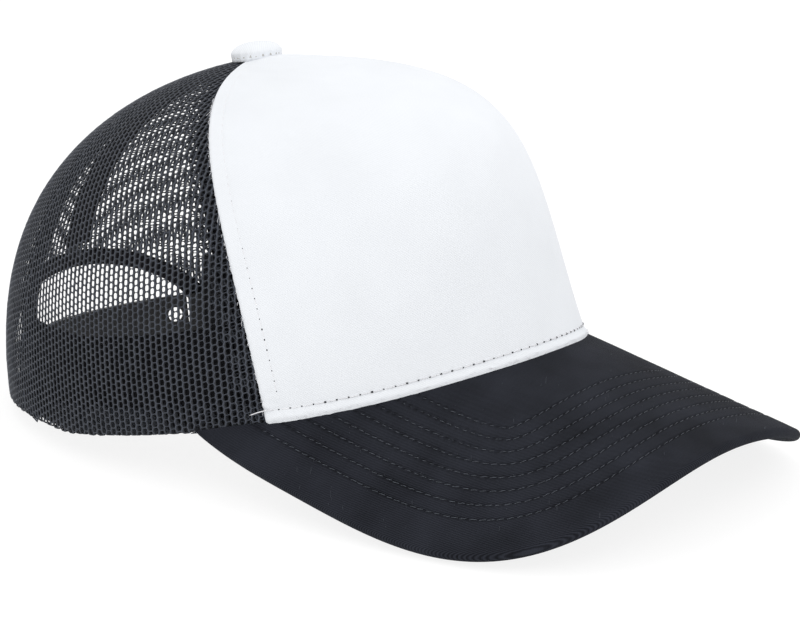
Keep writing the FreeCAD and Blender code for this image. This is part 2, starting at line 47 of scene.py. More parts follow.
# ---------------------------------------------------------------- driving dimensions
CROWN_FRONT, CROWN_BACK, CROWN_HALF_WIDTH = 106.5, 104.0, 82.5
APEX_HEIGHT, APEX_BACK = 117.4, 12.0
MERIDIANS = {  # control points of the meridians at the front, side and back
    "lean": (0.25, 0.05, -0.17),
    "rise": (0.69, 0.61, 0.60),
    "reach": (1.0, 0.63, 0.51),
    "dip": (-0.17, 0.05, 0.09),
}
SIDE_EDGE_HEIGHT, BACK_EDGE_HEIGHT = 8.3, 0.0
EDGE_BLEND_START, EDGE_BLEND_END = 59.2, 103.3
FRONT_SEAM_BASE, FRONT_SEAM_SWEEP, FRONT_SEAM_CURL = 57.8, 22.0, 11.3
REAR_SEAM_BASE, REAR_SEAM_SWEEP = 118.0, 17.5
TOP_RISE = 0.98
SKIRT_DEPTH = 4.0
VISOR_END_ANGLE, VISOR_HEIGHT, VISOR_BEND = 76.0, 60.45, 111.6
VISOR_PITCH = math.radians(11.3)
VISOR_CENTRE, VISOR_HALF_WIDTH, VISOR_HALF_LENGTH, VISOR_SQUARENESS = 86.1, 90.8, 91.8, 3.2
VISOR_DEPTH = 3.4
CLOTH_END_ANGLE, BOARD_END_ANGLE = 71.6, 69.5
ARCH_HALF_WIDTH, ARCH_STRAIGHT, ARCH_RISE = 45.0, 9.0, 24.0
BINDING_WIDTH = 4.5
BUTTON_RADIUS, BUTTON_DOME, BUTTON_TILT, BUTTON_LIFT = 8.6, 4.4, math.radians(9.0), 0.25
BUTTON_SKIRT = 1.1
STRAP_BEND, STRAP_LEAN, STRAP_LOW, STRAP_WIDTH, STRAP_INSET = 70.0, math.radians(7.0), 0.6, 14.0, 2.8
SIDES = (("left", -1), ("right", 1))


# ---------------------------------------------------------------- the crown's shape
def smooth_step(value):
    clipped = np.clip(value, 0.0, 1.0)
    return clipped * clipped * (3 - 2 * clipped)


def zone_mix(trait, angle):
    along = np.cos(np.radians(angle))
    front, side, back = MERIDIANS[trait]
    return front * np.maximum(along, 0) ** 2 + side * (1 - along ** 2) + back * np.minimum(along, 0) ** 2


def edge_plan(angle):
    """The head opening in plan: two half ellipses."""
    turn = np.radians(angle)
    length = np.where(np.cos(turn) > 0, CROWN_FRONT, CROWN_BACK)
    return -CROWN_HALF_WIDTH * np.sin(turn), -length * np.cos(turn)


def visor_cylinder_height(across, along):
    drop = VISOR_BEND - np.sqrt(VISOR_BEND ** 2 - across ** 2)
    return VISOR_HEIGHT + along * math.tan(VISOR_PITCH) - drop / math.cos(VISOR_PITCH)


def edge_height(angle):
    """The lower edge follows the visor at the front and comes down to the table at the back."""
    across, along = edge_plan(angle)
    wrapped = np.abs((angle + 180) % 360 - 180)
    on_visor = smooth_step((EDGE_BLEND_END - wrapped) / (EDGE_BLEND_END - EDGE_BLEND_START))
    backness = np.minimum(np.cos(np.radians(angle)), 0) ** 2
    rear = SIDE_EDGE_HEIGHT * (1 - backness) + BACK_EDGE_HEIGHT * backness
    return visor_cylinder_height(across, along) * on_visor + rear * (1 - on_visor)


def crown_point(angle, rise):
    """Points of the crown's outer face. Each meridian is one cubic Bezier curve."""
    angle, rise = np.broadcast_arrays(np.asarray(angle, float), np.asarray(rise, float))
    across, along = edge_plan(angle)
    low = edge_height(angle)
    b0, b1 = (1 - rise) ** 3, 3 * rise * (1 - rise) ** 2
    b2, b3 = 3 * rise ** 2 * (1 - rise), rise ** 3
    radius = b0 + b1 * (1 - zone_mix("lean", angle)) + b2 * zone_mix("reach", angle)
    height = b1 * zone_mix("rise", angle) + b2 * (1 - zone_mix("dip", angle)) + b3
    forward = APEX_BACK + (along - APEX_BACK) * radius
    return np.stack([across * radius, forward, low + (APEX_HEIGHT - low) * height], -1)


def unit(vectors):
    return vectors / np.maximum(np.linalg.norm(vectors, axis=-1, keepdims=True), 1e-12)


def crown_normal(angle, rise):
    round_about = crown_point(angle + 0.2, rise) - crown_point(angle - 0.2, rise)
    upward = crown_point(angle, rise + 0.002) - crown_point(angle, rise - 0.002)
    return unit(np.cross(upward, round_about))


def crown_layer(angle, rise, depth):
    """Points a depth inside the crown's outer face, or outside it where the depth is negative."""
    depth = np.asarray(depth, float)[..., None]
    return crown_point(angle, rise) - crown_normal(angle, rise) * depth


def mm_per_degree(angle, rise):
    return np.linalg.norm(crown_point(angle + 0.5, rise) - crown_point(angle - 0.5, rise), axis=-1)


def lengths_along(points):
    """Distance travelled along each line of points, from its first one."""
    steps = np.linalg.norm(np.diff(points, axis=-2), axis=-1)
    start = np.zeros(steps.shape[:-1] + (1,))
    return np.concatenate([start, np.cumsum(steps, axis=-1)], -1)


def rise_at(angles, distances):
    """The meridian parameter a distance up the wall from the lower edge, line by line."""
    rises = np.linspace(-0.12, 1.0, 561)
    zero = int(np.argmin(np.abs(rises)))
    angles, distances = np.broadcast_arrays(np.asarray(angles, float), np.asarray(distances, float))
    flat_angles, flat_distances = angles.ravel(), distances.ravel()
    unique_angles, which = np.unique(flat_angles, return_inverse=True)
    travelled = lengths_along(crown_point(unique_angles[:, None], rises[None, :]))
    travelled = travelled - travelled[:, zero:zero + 1]
    found = np.empty_like(flat_distances)
    for index in range(len(unique_angles)):
        mine = which == index
        found[mine] = np.interp(flat_distances[mine], travelled[index], rises)
    return found.reshape(distances.shape)


def front_seam(rise):
    return FRONT_SEAM_BASE + FRONT_SEAM_SWEEP * rise + FRONT_SEAM_CURL * rise ** 3


def rear_seam(rise):
    return REAR_SEAM_BASE + REAR_SEAM_SWEEP * rise


def back_seam(rise):
    return 180.0 + 0 * rise


# ---------------------------------------------------------------- meshes
def to_row(points):
    return (np.asarray(points, float) + (0, ROW_SHIFT_Y, 0)) * MM


def add_object(name, data):
    made = bpy.data.objects.new(name, data)
    bpy.context.scene.collection.objects.link(made)
    return made


def add_mesh(name, points, faces, cloth):
    """A mesh from points in millimetres. cloth gives each point's place on the flat cloth."""
    mesh = bpy.data.meshes.new(name)
    mesh.from_pydata(to_row(points).tolist(), [], faces)
    layer = mesh.attributes.new("cloth", "FLOAT_VECTOR", "POINT")
    layer.data.foreach_set("vector", np.asarray(cloth, np.float32).ravel())
    tidy_mesh(mesh)
    piece = add_object(name, mesh)
    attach(piece, "root")
    return piece


def tidy_mesh(mesh):
    """Drops collapsed faces and turns every face outwards."""
    work = bmesh.new()
    work.from_mesh(mesh)
    bmesh.ops.dissolve_degenerate(work, dist=1e-7, edges=work.edges)
    bmesh.ops.recalc_face_normals(work, faces=work.faces)
    work.to_mesh(mesh)
    work.free()
    mesh.shade_smooth()
    mesh.update()


def grid_faces(columns, rows, first, wrap):
    """Quads of a grid whose points run row by row within each column, from a first point's index."""
    spans = columns if wrap else columns - 1
    i, j = np.meshgrid(np.arange(spans), np.arange(rows - 1), indexing="ij")
    after = (i + 1) % columns
    corners = [i * rows + j, after * rows + j, after * rows + j + 1, i * rows + j + 1]
    return (np.stack(corners, -1).reshape(-1, 4) + first).tolist()


def rim_of(columns, rows):
    """Indices once round a grid's border."""
    low = [i * rows for i in range(columns)]
    right = [(columns - 1) * rows + j for j in range(1, rows)]
    high = [i * rows + rows - 1 for i in range(columns - 2, -1, -1)]
    left = [j for j in range(rows - 2, 0, -1)]
    return low + right + high + left


def two_sided(outer, inner, wrap=False):
    """Points and faces of two grids of the same size, face to face, with their edges open."""
    columns, rows = outer.shape[:2]
    count = columns * rows
    points = np.concatenate([outer.reshape(-1, 3), inner.reshape(-1, 3)])
    faces = grid_faces(columns, rows, 0, wrap)
    faces += [face[::-1] for face in grid_faces(columns, rows, count, wrap)]
    return points, faces


def slab(outer, inner):
    """Points and faces of a closed sheet between two grids of the same size."""
    columns, rows = outer.shape[:2]
    count = columns * rows
    points, faces = two_sided(outer, inner)
    rim = rim_of(columns, rows)
    for here, there in zip(rim, rim[1:] + rim[:1]):
        faces.append([there, here, here + count, there + count])
    return points, faces


def both_faces(cloth):
    """Flat coordinates for the outer and inner face of a cloth."""
    flat = np.asarray(cloth, float).reshape(-1, 3)
    return np.concatenate([flat, flat + (0, 0, 1)])


def add_slab(name, outer, inner, cloth):
    return add_mesh(name, *slab(outer, inner), both_faces(cloth))


def declare_sheet(grid):
    """Measures the longest of a grid's lines across its columns; the result is not used."""
    width = lengths_along(grid.transpose(1, 0, 2))[:, -1].max()


def flat_coordinates(across, upward):
    across, upward = np.broadcast_arrays(across, upward)
    return np.stack([across, upward, np.zeros_like(across)], -1)


def ripple(across, upward, scale, seed):
    """Soft unevenness: a few sine waves in random directions."""
    dice = np.random.default_rng(seed)
    total = 0.0
    for _ in range(7):
        direction, phase = dice.uniform(0, 2 * math.pi, 2)
        stretch = dice.uniform(0.6, 1.6) * 2 * math.pi / scale
        along = across * math.cos(direction) + upward * math.sin(direction)
        total = total + np.sin(stretch * along + phase)
    return total / 7


def near(distance, centre, width):
    """A bell of height 1 about a centre."""
    return np.exp(-((distance - centre) / width) ** 2)


def clustered(count, share, inner_count):
    """Parameters from 0 to 1 with inner_count of them packed into each end's share."""
    ends = np.linspace(0, share, inner_count, endpoint=False)
    middle = np.linspace(share, 1 - share, count - 2 * inner_count)
    return np.concatenate([ends, middle, 1 - ends[::-1]])


# ---------------------------------------------------------------- thread
THREAD_SIDES = 6
THREAD_SECTIONS = ((-1.0, 0.3, -1.1), (-0.82, 0.8, -0.1), (-0.35, 1.0, 0.55),
                   (0.35, 1.0, 0.55), (0.82, 0.8, -0.1), (1.0, 0.3, -1.1))


def resample(path, normals, distances):
    """Points, directions and normals at distances along a line of points."""
    travelled, step = lengths_along(path), 0.4

    def at(values, shift=0.0):
        return np.stack([np.interp(distances + shift, travelled, values[:, k]) for k in range(3)], -1)

    return at(path), unit(at(path, step) - at(path, -step)), unit(at(normals))


def stitch_shapes(path, normals, pitch, fill, radius, seed, slant=0.0):
    """Short threads that dip into the cloth at both ends, laid one after another along a path."""
    dice = np.random.default_rng(seed)
    total = lengths_along(path)[-1]
    count = max(int(total / pitch), 1)
    centres = (np.arange(count) + 0.5) * total / count + dice.normal(0, 0.05 * pitch, count)
    halves = 0.5 * fill * pitch * (1 + dice.normal(0, 0.05, count))
    points = []
    for along, width, lift in THREAD_SECTIONS:
        where, ahead, facing = resample(path, normals, centres + along * halves)
        sideways = unit(np.cross(facing, ahead))
        aside = along * slant + dice.normal(0, 0.05, count)
        middle = where + facing * (lift * radius) + sideways * aside[:, None]
        for side in range(THREAD_SIDES):
            turn = 2 * math.pi * side / THREAD_SIDES
            rim = facing * math.cos(turn) + sideways * math.sin(turn)
            points.append(middle + rim * radius * width)
    points = np.stack(points, 1)
    sections = len(THREAD_SECTIONS)
    pattern = []
    for ring in range(sections - 1):
        for side in range(THREAD_SIDES):
            after = (side + 1) % THREAD_SIDES
            low, high = ring * THREAD_SIDES, (ring + 1) * THREAD_SIDES
            pattern.append([low + side, low + after, high + after, high + side])
    start_cap = list(range(THREAD_SIDES))[::-1]
    end_cap = list(range((sections - 1) * THREAD_SIDES, sections * THREAD_SIDES))
    per_stitch = sections * THREAD_SIDES
    faces = []
    for index in range(count):
        base = index * per_stitch
        faces += [[base + corner for corner in face] for face in pattern + [start_cap, end_cap]]
    return points.reshape(-1, 3), faces


def add_joined(name, shapes, look):
    """One piece from a list of (points, faces)."""
    all_points, all_faces, first = [], [], 0
    for points, faces in shapes:
        all_points.append(points)
        all_faces += [[corner + first for corner in face] for face in faces]
        first += len(points)
    points = np.concatenate(all_points)
    dress(add_mesh(name, points, all_faces, points), look)


def add_stitches(name, rows, look, pitch, fill, radius, seed=SEED, slant=0.0):
    """One piece with every row of stitching in a list of (path, normals)."""
    shapes = [stitch_shapes(path, normals, pitch, fill, radius, seed + number, slant)
              for number, (path, normals) in enumerate(rows)]
    add_joined(name, shapes, look)


def crown_path(angles, rises, depth):
    """A line on the crown for stitching to follow, with the directions that face away from it."""
    return crown_layer(angles, rises, depth), crown_normal(angles, rises)


def inwards(path_and_normals):
    path, normals = path_and_normals
    return path, -normals


# ---------------------------------------------------------------- materials
def node(tree, kind, **values):
    made = tree.nodes.new("ShaderNode" + kind)
    for key, value in values.items():
        setattr(made, key, value)
    return made


def socket(tree, target, source):
    """Feeds an input from another node's output, or from a constant."""
    if isinstance(source, bpy.types.NodeSocket):
        tree.links.new(source, target)
    else:
        target.default_value = source


def math_node(tree, operation, first, second=0.0):
    made = node(tree, "Math", operation=operation)
    socket(tree, made.inputs[0], first)
    socket(tree, made.inputs[1], second)
    return made.outputs[0]


def weighted(tree, first, first_share, second, second_share):
    return math_node(tree, "ADD", math_node(tree, "MULTIPLY", first, first_share),
                     math_node(tree, "MULTIPLY", second, second_share))


def cloth_place(tree):
    return node(tree, "Attribute", attribute_name="cloth").outputs["Vector"]


def cloth_height(tree):
    """The cloth attribute's z."""
    parts = node(tree, "SeparateXYZ")
    tree.links.new(cloth_place(tree), parts.inputs[0])
    return parts.outputs["Z"]


def noise(tree, place, scale, detail, roughness=0.55):
    made = node(tree, "TexNoise")
    made.inputs["Scale"].default_value = scale
    made.inputs["Detail"].default_value = detail
    made.inputs["Roughness"].default_value = roughness
    tree.links.new(place, made.inputs["Vector"])
    return made


def wavered(tree, place, scale, amount):
    """Cloth coordinates pushed about a little, so that threads aren't ruled lines."""
    push = node(tree, "VectorMath", operation="MULTIPLY_ADD")
    tree.links.new(noise(tree, place, scale, 2.0).outputs["Color"], push.inputs[0])
    push.inputs[1].default_value = (amount, amount, 0)
    tree.links.new(place, push.inputs[2])
    return push.outputs[0]


def stripes(tree, place, pitch, direction):
    """A smooth 0 to 1 wave with a pitch in millimetres across a direction in degrees."""
    turn = math.radians(direction)
    dot = node(tree, "VectorMath", operation="DOT_PRODUCT")
    tree.links.new(place, dot.inputs[0])
    step = 2 * math.pi / pitch
    dot.inputs[1].default_value = (math.cos(turn) * step, math.sin(turn) * step, 0)
    wave = math_node(tree, "SINE", dot.outputs["Value"])
    return math_node(tree, "ADD", math_node(tree, "MULTIPLY", wave, 0.5), 0.5)


def bump(tree, height, strength, distance_mm):
    made = node(tree, "Bump")
    made.inputs["Strength"].default_value = strength
    made.inputs["Distance"].default_value = distance_mm * MM
    tree.links.new(height, made.inputs["Height"])
    return made.outputs["Normal"]


def ramp(tree, value, stops):
    made = node(tree, "ValToRGB")
    while len(made.color_ramp.elements) < len(stops):
        made.color_ramp.elements.new(0.5)
    for element, (position, colour) in zip(made.color_ramp.elements, stops):
        element.position = position
        element.color = (*colour, 1)
    tree.links.new(value, made.inputs["Fac"])
    return made.outputs["Color"]


def new_material(name, **sockets):
    material = bpy.data.materials.new(name)
    material.use_nodes = True
    tree = material.node_tree
    shader = tree.nodes["Principled BSDF"]
    for key, value in sockets.items():
        shader.inputs[key.replace("_", " ")].default_value = value
    return material, tree, shader


def shade(colour, factor):
    return tuple(channel * factor for channel in colour)


def paint(tree, shader, tone, stops, height, strength, relief):
    """Colour along a ramp of (tone, colour) stops, and relief in millimetres."""
    tree.links.new(ramp(tree, tone, stops), shader.inputs["Base Color"])
    tree.links.new(bump(tree, height, strength, relief), shader.inputs["Normal"])


def woven(name, colour, pitch, diagonal, spread, relief, specular, groove=0.0):
    """A woven cloth: diagonal ribs over fine threads, with fibre noise and slow colour change.

    The cloth attribute's z is 1 in a stitched groove, which gets painted shade: darker by the groove's
    amount.
    """
    material, tree, shader = new_material(name, Roughness=0.85, Specular_IOR_Level=specular)
    place = wavered(tree, cloth_place(tree), 0.6, 0.25)
    ribs = stripes(tree, place, pitch, diagonal)
    threads = stripes(tree, place, pitch * 0.62, diagonal + 90)
    weave = weighted(tree, ribs, 0.7, threads, 0.3)
    fibre = noise(tree, place, 2.2, 4.0, 0.7).outputs["Fac"]
    height = math_node(tree, "ADD", weave, math_node(tree, "MULTIPLY", fibre, 0.6))
    slow = noise(tree, place, 0.05, 2.0).outputs["Fac"]
    tone = weighted(tree, height, 0.5, slow, 0.5)
    # Painted shade: the stitched grooves are darkened in the cloth's colour.
    if groove:
        painted_groove_shade = math_node(tree, "MULTIPLY", cloth_height(tree), groove)
        tone = math_node(tree, "SUBTRACT", tone, painted_groove_shade)
    stops = [(0.25, shade(colour, 1 - spread)), (0.6, colour), (0.9, shade(colour, 1 + spread))]
    paint(tree, shader, tone, stops, height, 0.8, relief)
    return material


def knitted(name, colour, spread, roughness):
    """Polyester yarn: fine twisted filaments, with a painted highlight along the crest, and a dull shine.
    """
    material, tree, shader = new_material(name, Roughness=roughness, Specular_IOR_Level=0.35)
    place = cloth_place(tree)
    filaments = stripes(tree, wavered(tree, place, 1.5, 0.5), 0.34, 35.0)
    fibre = noise(tree, place, 3.0, 4.0, 0.75).outputs["Fac"]
    height = math_node(tree, "ADD", math_node(tree, "MULTIPLY", filaments, 0.5), fibre)
    # Painted highlight: paler where the cloth attribute's z marks the yarn's crest.
    crest = math_node(tree, "POWER", math_node(tree, "MAXIMUM", cloth_height(tree), 0.0), 2.2)
    tone = weighted(tree, height, 0.4, crest, 0.65)
    stops = [(0.2, shade(colour, 1 - spread)), (0.55, colour), (0.95, shade(colour, 1 + 3.2 * spread))]
    paint(tree, shader, tone, stops, height, 0.6, 0.06)
    return material


def thread_material(name, colour, spread=0.15):
    material, tree, shader = new_material(name, Roughness=0.6, Specular_IOR_Level=0.25)
    fibre = noise(tree, cloth_place(tree), 4.0, 3.0, 0.7).outputs["Fac"]
    stops = [(0.3, shade(colour, 1 - spread)), (0.7, shade(colour, 1 + spread))]
    paint(tree, shader, fibre, stops, fibre, 0.5, 0.05)
    return material


def plain_solid(name, colour, roughness, metallic, grain_scale, relief, **sockets):
    """Moulded plastic or metal: fine grain in relief, colour and gloss."""
    material, tree, shader = new_material(name, Metallic=metallic, **sockets)
    place = node(tree, "TexCoord").outputs["Object"]
    grain = noise(tree, place, grain_scale, 4.0, 0.6).outputs["Fac"]
    stops = [(0.3, shade(colour, 0.9)), (0.7, shade(colour, 1.1))]
    paint(tree, shader, grain, stops, grain, 0.4, relief)
    gloss = math_node(tree, "ADD", math_node(tree, "MULTIPLY", grain, 0.2), roughness - 0.1)
    tree.links.new(gloss, shader.inputs["Roughness"])
    return material


def dress(piece, material):
    piece.data.materials.clear()
    piece.data.materials.append(material)


def stand_for(piece, material, slot, *node_names):
    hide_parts(*node_names)
    dress(piece, material)


WHITE_TWILL = woven("white_twill", (0.78, 0.80, 0.83), 0.62, -45.0, spread=0.05, relief=0.05, specular=0.1)
WHITE_LINING = woven("white_lining", (0.62, 0.61, 0.58), 1.1, 0.0, spread=0.12, relief=0.12, specular=0.25)
# The navy twill's groove setting paints shade into the visor's stitched grooves.
NAVY_TWILL = woven("navy_twill", (0.0148, 0.0162, 0.0215), 0.56, -45.0, spread=0.95, relief=0.16,
                   specular=0.08, groove=0.22)
BAND_CLOTH = woven("band_cloth", (0.010, 0.010, 0.012), 0.8, 60.0, spread=0.4, relief=0.09, specular=0.08)
TAPE_CLOTH = woven("tape_cloth", (0.011, 0.011, 0.014), 0.7, 90.0, spread=0.4, relief=0.09, specular=0.08)
# The mesh yarn carries a painted highlight along its crest.
MESH_YARN = knitted("mesh_yarn", (0.0215, 0.0250, 0.0335), 0.7, 0.55)
WHITE_THREAD = thread_material("white_thread", (0.80, 0.80, 0.82))
DARK_THREAD = thread_material("dark_thread", (0.072, 0.080, 0.096), 0.95)
BLACK_THREAD = thread_material("black_thread", (0.02, 0.02, 0.024), 0.3)
HOLE_SHADOW = thread_material("needle_hole", (0.04, 0.04, 0.045), 0.3)
BLACK_PLASTIC = plain_solid("black_plastic", (0.013, 0.013, 0.015), 0.48, 0.0, 900.0, 0.03,
                            Specular_IOR_Level=0.3)
BOARD_PLASTIC = plain_solid("board_plastic", (0.35, 0.35, 0.34), 0.6, 0.0, 400.0, 0.05)
BUTTON_METAL = plain_solid("button_metal", (0.50, 0.49, 0.47), 0.35, 1.0, 700.0, 0.02)


# ---------------------------------------------------------------- camera
CAMERA_TARGET = Vector((0.00301, -0.01261, 0.03844))
CAMERA_DISTANCE, CAMERA_LENS = 0.7532, 106.2
CAMERA_AZIMUTH, CAMERA_ELEVATION = math.radians(-49.52), math.radians(15.32)


def look_along(thing, direction):
    thing.rotation_mode = "QUATERNION"
    thing.rotation_quaternion = direction.to_track_quat("-Z", "Y")


def add_camera():
    back = Vector((math.sin(CAMERA_AZIMUTH) * math.cos(CAMERA_ELEVATION),
                   -math.cos(CAMERA_AZIMUTH) * math.cos(CAMERA_ELEVATION),
                   math.sin(CAMERA_ELEVATION)))
    camera = add_object("camera", bpy.data.cameras.new("camera"))
    camera.data.lens = CAMERA_LENS
    camera.location = CAMERA_TARGET + back * CAMERA_DISTANCE
    look_along(camera, -back)
    bpy.context.scene.camera = camera


# ---------------------------------------------------------------- front panel
LIP_STITCH, SIDE_STITCH = 3.4, 5.4
LIP_PITCH, SIDE_PITCH = 3.5, 3.1


def front_relief(from_seam, from_visor, across, upward):
    """How far the white cloth stands off the crown's face."""
    raised = 0.55 * smooth_step(from_seam / 1.1) - 0.35 * smooth_step((from_seam - 6) / 16)
    groove = -0.12 * near(from_seam, SIDE_STITCH, 0.6)
    pucker = 0.05 * np.sin(2 * math.pi * upward / 3.1) * near(from_seam, SIDE_STITCH - 1.6, 1.8)
    lip = 0.42 * near(from_visor, 0.9, 1.3) - 0.14 * near(from_visor, LIP_STITCH, 0.7)
    gathers = 0.05 * np.sin(2 * math.pi * across / 3.5) * near(from_visor, 2.2, 1.6)
    waves = 0.16 * ripple(across, upward, 34.0, SEED) * smooth_step(from_seam / 12)
    crumple = 0.14 * ripple(across, upward, 2.6, SEED + 1) * near(from_visor, 0.6, 1.6)
    return raised + groove + pucker + lip + gathers + waves + crumple


def front_grid(columns, rows):
    """Angles, rises and distances of the front panel's grid, which is finer near its edges."""
    fine_rows, fine_height = 34, 9.0
    share = clustered(columns, 0.07, fine_rows)[:, None]
    first_rows = np.linspace(-SKIRT_DEPTH, fine_height, fine_rows, endpoint=False)
    later = np.linspace(0, 1, rows - fine_rows)
    base_angle = (2 * share - 1) * front_seam(0.0)
    reach = smooth_step((VISOR_END_ANGLE - np.abs(base_angle)) / 12.0)
    low_rise = rise_at(base_angle, np.where(first_rows < 0, first_rows * reach, first_rows))
    start = rise_at(base_angle, fine_height)
    rise = np.concatenate([low_rise, start + (TOP_RISE - start) * later], 1)
    ragged = 0.14 * ripple(rise * 140.0, 0.0, 2.2, SEED + 12)
    angle = (2 * share - 1) * (front_seam(rise) + ragged * near(np.abs(2 * share - 1), 1.0, 0.02))
    points = crown_point(angle, rise)
    across = lengths_along(points.transpose(1, 0, 2)).T
    width = across[-1:, :]
    upward = lengths_along(points) + first_rows[0]
    from_seam = np.minimum(across, width - across)
    return angle, rise, from_seam, upward, across - width / 2


def add_front_panel():
    angle, rise, from_seam, upward, across = front_grid(208, 176)
    relief = front_relief(from_seam, upward, across, upward)
    edge = smooth_step(from_seam / 0.9)
    edge_depth, middle_depth = 0.45, 0.72
    outer = crown_layer(angle, rise, 0.10 - relief)
    inner = crown_layer(angle, rise, edge_depth + (middle_depth - edge_depth) * edge
                        - np.minimum(relief, 0.3) * edge)
    panel = add_slab("front_panel_cloth", outer, inner, flat_coordinates(across, upward))
    stand_for(panel, WHITE_TWILL, "white_twill", "front_panel")
    declare_sheet(crown_point(angle, rise))


def add_front_lining():
    share = np.linspace(0.006, 0.994, 120)[:, None]
    base_angle = (2 * share - 1) * front_seam(0.0)
    start = rise_at(base_angle, -SKIRT_DEPTH + 0.5)
    rise = start + (TOP_RISE - start) * np.linspace(0, 1, 90)[None, :]
    angle = (2 * share - 1) * front_seam(rise)
    points = crown_point(angle, rise)
    across = lengths_along(points.transpose(1, 0, 2)).T
    upward = lengths_along(points)
    drift = 0.12 * ripple(across, upward, 26.0, SEED + 2)
    outer = crown_layer(angle, rise, 0.86 + 0 * drift)
    inner = crown_layer(angle, rise, 1.62 + drift)
    lining = add_slab("front_lining_cloth", outer, inner, flat_coordinates(across, upward))
    stand_for(lining, WHITE_LINING, "stiff_lining", "front_lining")
    declare_sheet(points)


def front_stitch_rows():
    """One row inside each front seam, then one along the lower edge."""
    rises = np.linspace(0.05, 0.93, 160)
    seam = front_seam(rises)
    angles = seam - SIDE_STITCH / mm_per_degree(seam, rises)
    rows = [crown_path(sign * angles, rises, -0.22) for _, sign in SIDES]
    angles = np.linspace(-55.5, 55.5, 220)
    rows.append(crown_path(angles, rise_at(angles, LIP_STITCH), -0.22))
    return rows


def add_needle_holes(rows, pitches):
    """Small dents where the needle went through the white cloth, in a near-black colour that is painted
    shade in the holes.
    """
    dice = np.random.default_rng(SEED + 5)
    sides, radius = 8, 0.36
    all_points, faces = [], []
    for (path, normals), pitch in zip(rows, pitches):
        total = lengths_along(path)[-1]
        count = int(total / pitch)
        where, ahead, facing = resample(path, normals, np.arange(count + 1) * total / count)
        sideways = unit(np.cross(facing, ahead))
        for point, tangent, normal, aside in zip(where, ahead, facing, sideways):
            first = sum(len(block) for block in all_points)
            size = radius * dice.uniform(0.6, 1.1)
            turns = np.arange(sides) * 2 * math.pi / sides
            round_about = np.cos(turns)[:, None] * tangent * 1.15 + np.sin(turns)[:, None] * aside * 0.85
            centre = point + normal * 0.10
            block = [centre - normal * 0.25 + round_about * size, centre + round_about * size * 0.8,
                     (centre + normal * 0.05)[None, :], (centre - normal * 0.3)[None, :]]
            all_points.append(np.concatenate(block))
            for side in range(sides):
                after = (side + 1) % sides
                faces.append([first + side, first + after, first + sides + after, first + sides + side])
                faces.append([first + sides + side, first + sides + after, first + 2 * sides])
                faces.append([first + after, first + side, first + 2 * sides + 1])
    points = np.concatenate(all_points)
    dress(add_mesh("needle_holes", points, faces, points), HOLE_SHADOW)


def add_fuzz(name, count, radius, look, root_at, seed):
    """Short loose fibres, each a thin bent thread that starts on the cloth."""
    dice = np.random.default_rng(seed)
    shapes = []
    for number in range(count):
        root, outwards, aside = root_at(dice)
        length = dice.uniform(0.5, 1.5)
        lean, curl = dice.normal(0, 0.9), dice.normal(0, 0.5)
        reach = np.linspace(0, 1, 6)[:, None]
        path = root + outwards * reach * length * 0.55 + aside * (lean * reach + curl * reach ** 2) * length
        normals = np.broadcast_to(np.cross(outwards, aside), path.shape)
        shapes.append(stitch_shapes(path, normals, lengths_along(path)[-1], 1.0, radius, seed + number))
    add_joined(name, shapes, look)


def lip_fibre_root(dice):
    """A place on the white cloth's lower edge, with its outward and sideways directions."""
    angle = dice.uniform(-56.0, 56.0)
    rise = float(rise_at(angle, dice.uniform(0.1, 1.0)))
    ahead = crown_point(angle + 0.5, rise) - crown_point(angle - 0.5, rise)
    return crown_layer(angle, rise, -0.4), crown_normal(angle, rise), unit(ahead)


def seam_fibre_root(dice):
    """A place on the white cloth's side edges."""
    rise = dice.uniform(0.02, 0.75)
    angle = float(front_seam(rise)) * dice.choice((-1.0, 1.0))
    upward = crown_point(angle, rise + 0.01) - crown_point(angle, rise - 0.01)
    return crown_layer(angle, rise, -0.1), crown_normal(angle, rise), unit(upward)


def add_front():
    add_front_panel()
    add_front_lining()
    rows = front_stitch_rows()
    add_stitches("front_stitching", rows[:2], WHITE_THREAD, SIDE_PITCH, 0.86, 0.15)
    add_stitches("lower_stitching", rows[2:], WHITE_THREAD, LIP_PITCH, 0.86, 0.16)
    lower_half = [tuple(line[:100] for line in row) for row in rows[:2]]
    add_needle_holes(lower_half + rows[2:], (SIDE_PITCH, SIDE_PITCH, LIP_PITCH))
    add_thread_tail()
    add_fuzz("lip_fibres", 150, 0.055, WHITE_THREAD, lip_fibre_root, SEED + 40)
    add_fuzz("seam_fibres", 160, 0.05, WHITE_THREAD, seam_fibre_root, SEED + 41)


def add_thread_tail():
    """The loose end of the side stitching, lying back over the mesh at the right corner."""
    angles = np.array([55.6, 57.4, 58.9, 60.2, 61.2])
    climbs = np.array([3.4, 3.7, 3.3, 2.7, 2.2])
    lifts = np.array([0.2, 0.8, 0.9, 0.7, 0.8])
    path = crown_path(angles, rise_at(angles, climbs), -lifts)
    add_stitches("thread_tail", [path], WHITE_THREAD, 8.0, 1.0, 0.19)


# ---------------------------------------------------------------- knitted mesh
COLUMN_PITCH, ROW_PITCH = 2.2, 2.1
HOLE_HALF_WIDTH, HOLE_HALF_HEIGHT, HOLE_SQUARENESS = 0.68, 0.92, 2.9
YARN_HALF, RIM_HALF = 0.30, 0.07
FOLD_RADIUS = 0.5
MESH_DEPTH = 0.42
HOLE_TURNS = np.radians([0, 27, 52, 90, 128, 153, 180, 207, 232, 270, 308, 333])
RIM_POINTS = len(HOLE_TURNS)
CHART_DEPTH, CHART_HALF_WIDTH = 172.0, 75.0
HEM_WIDTH = 9.5
UNEVEN = 0.05


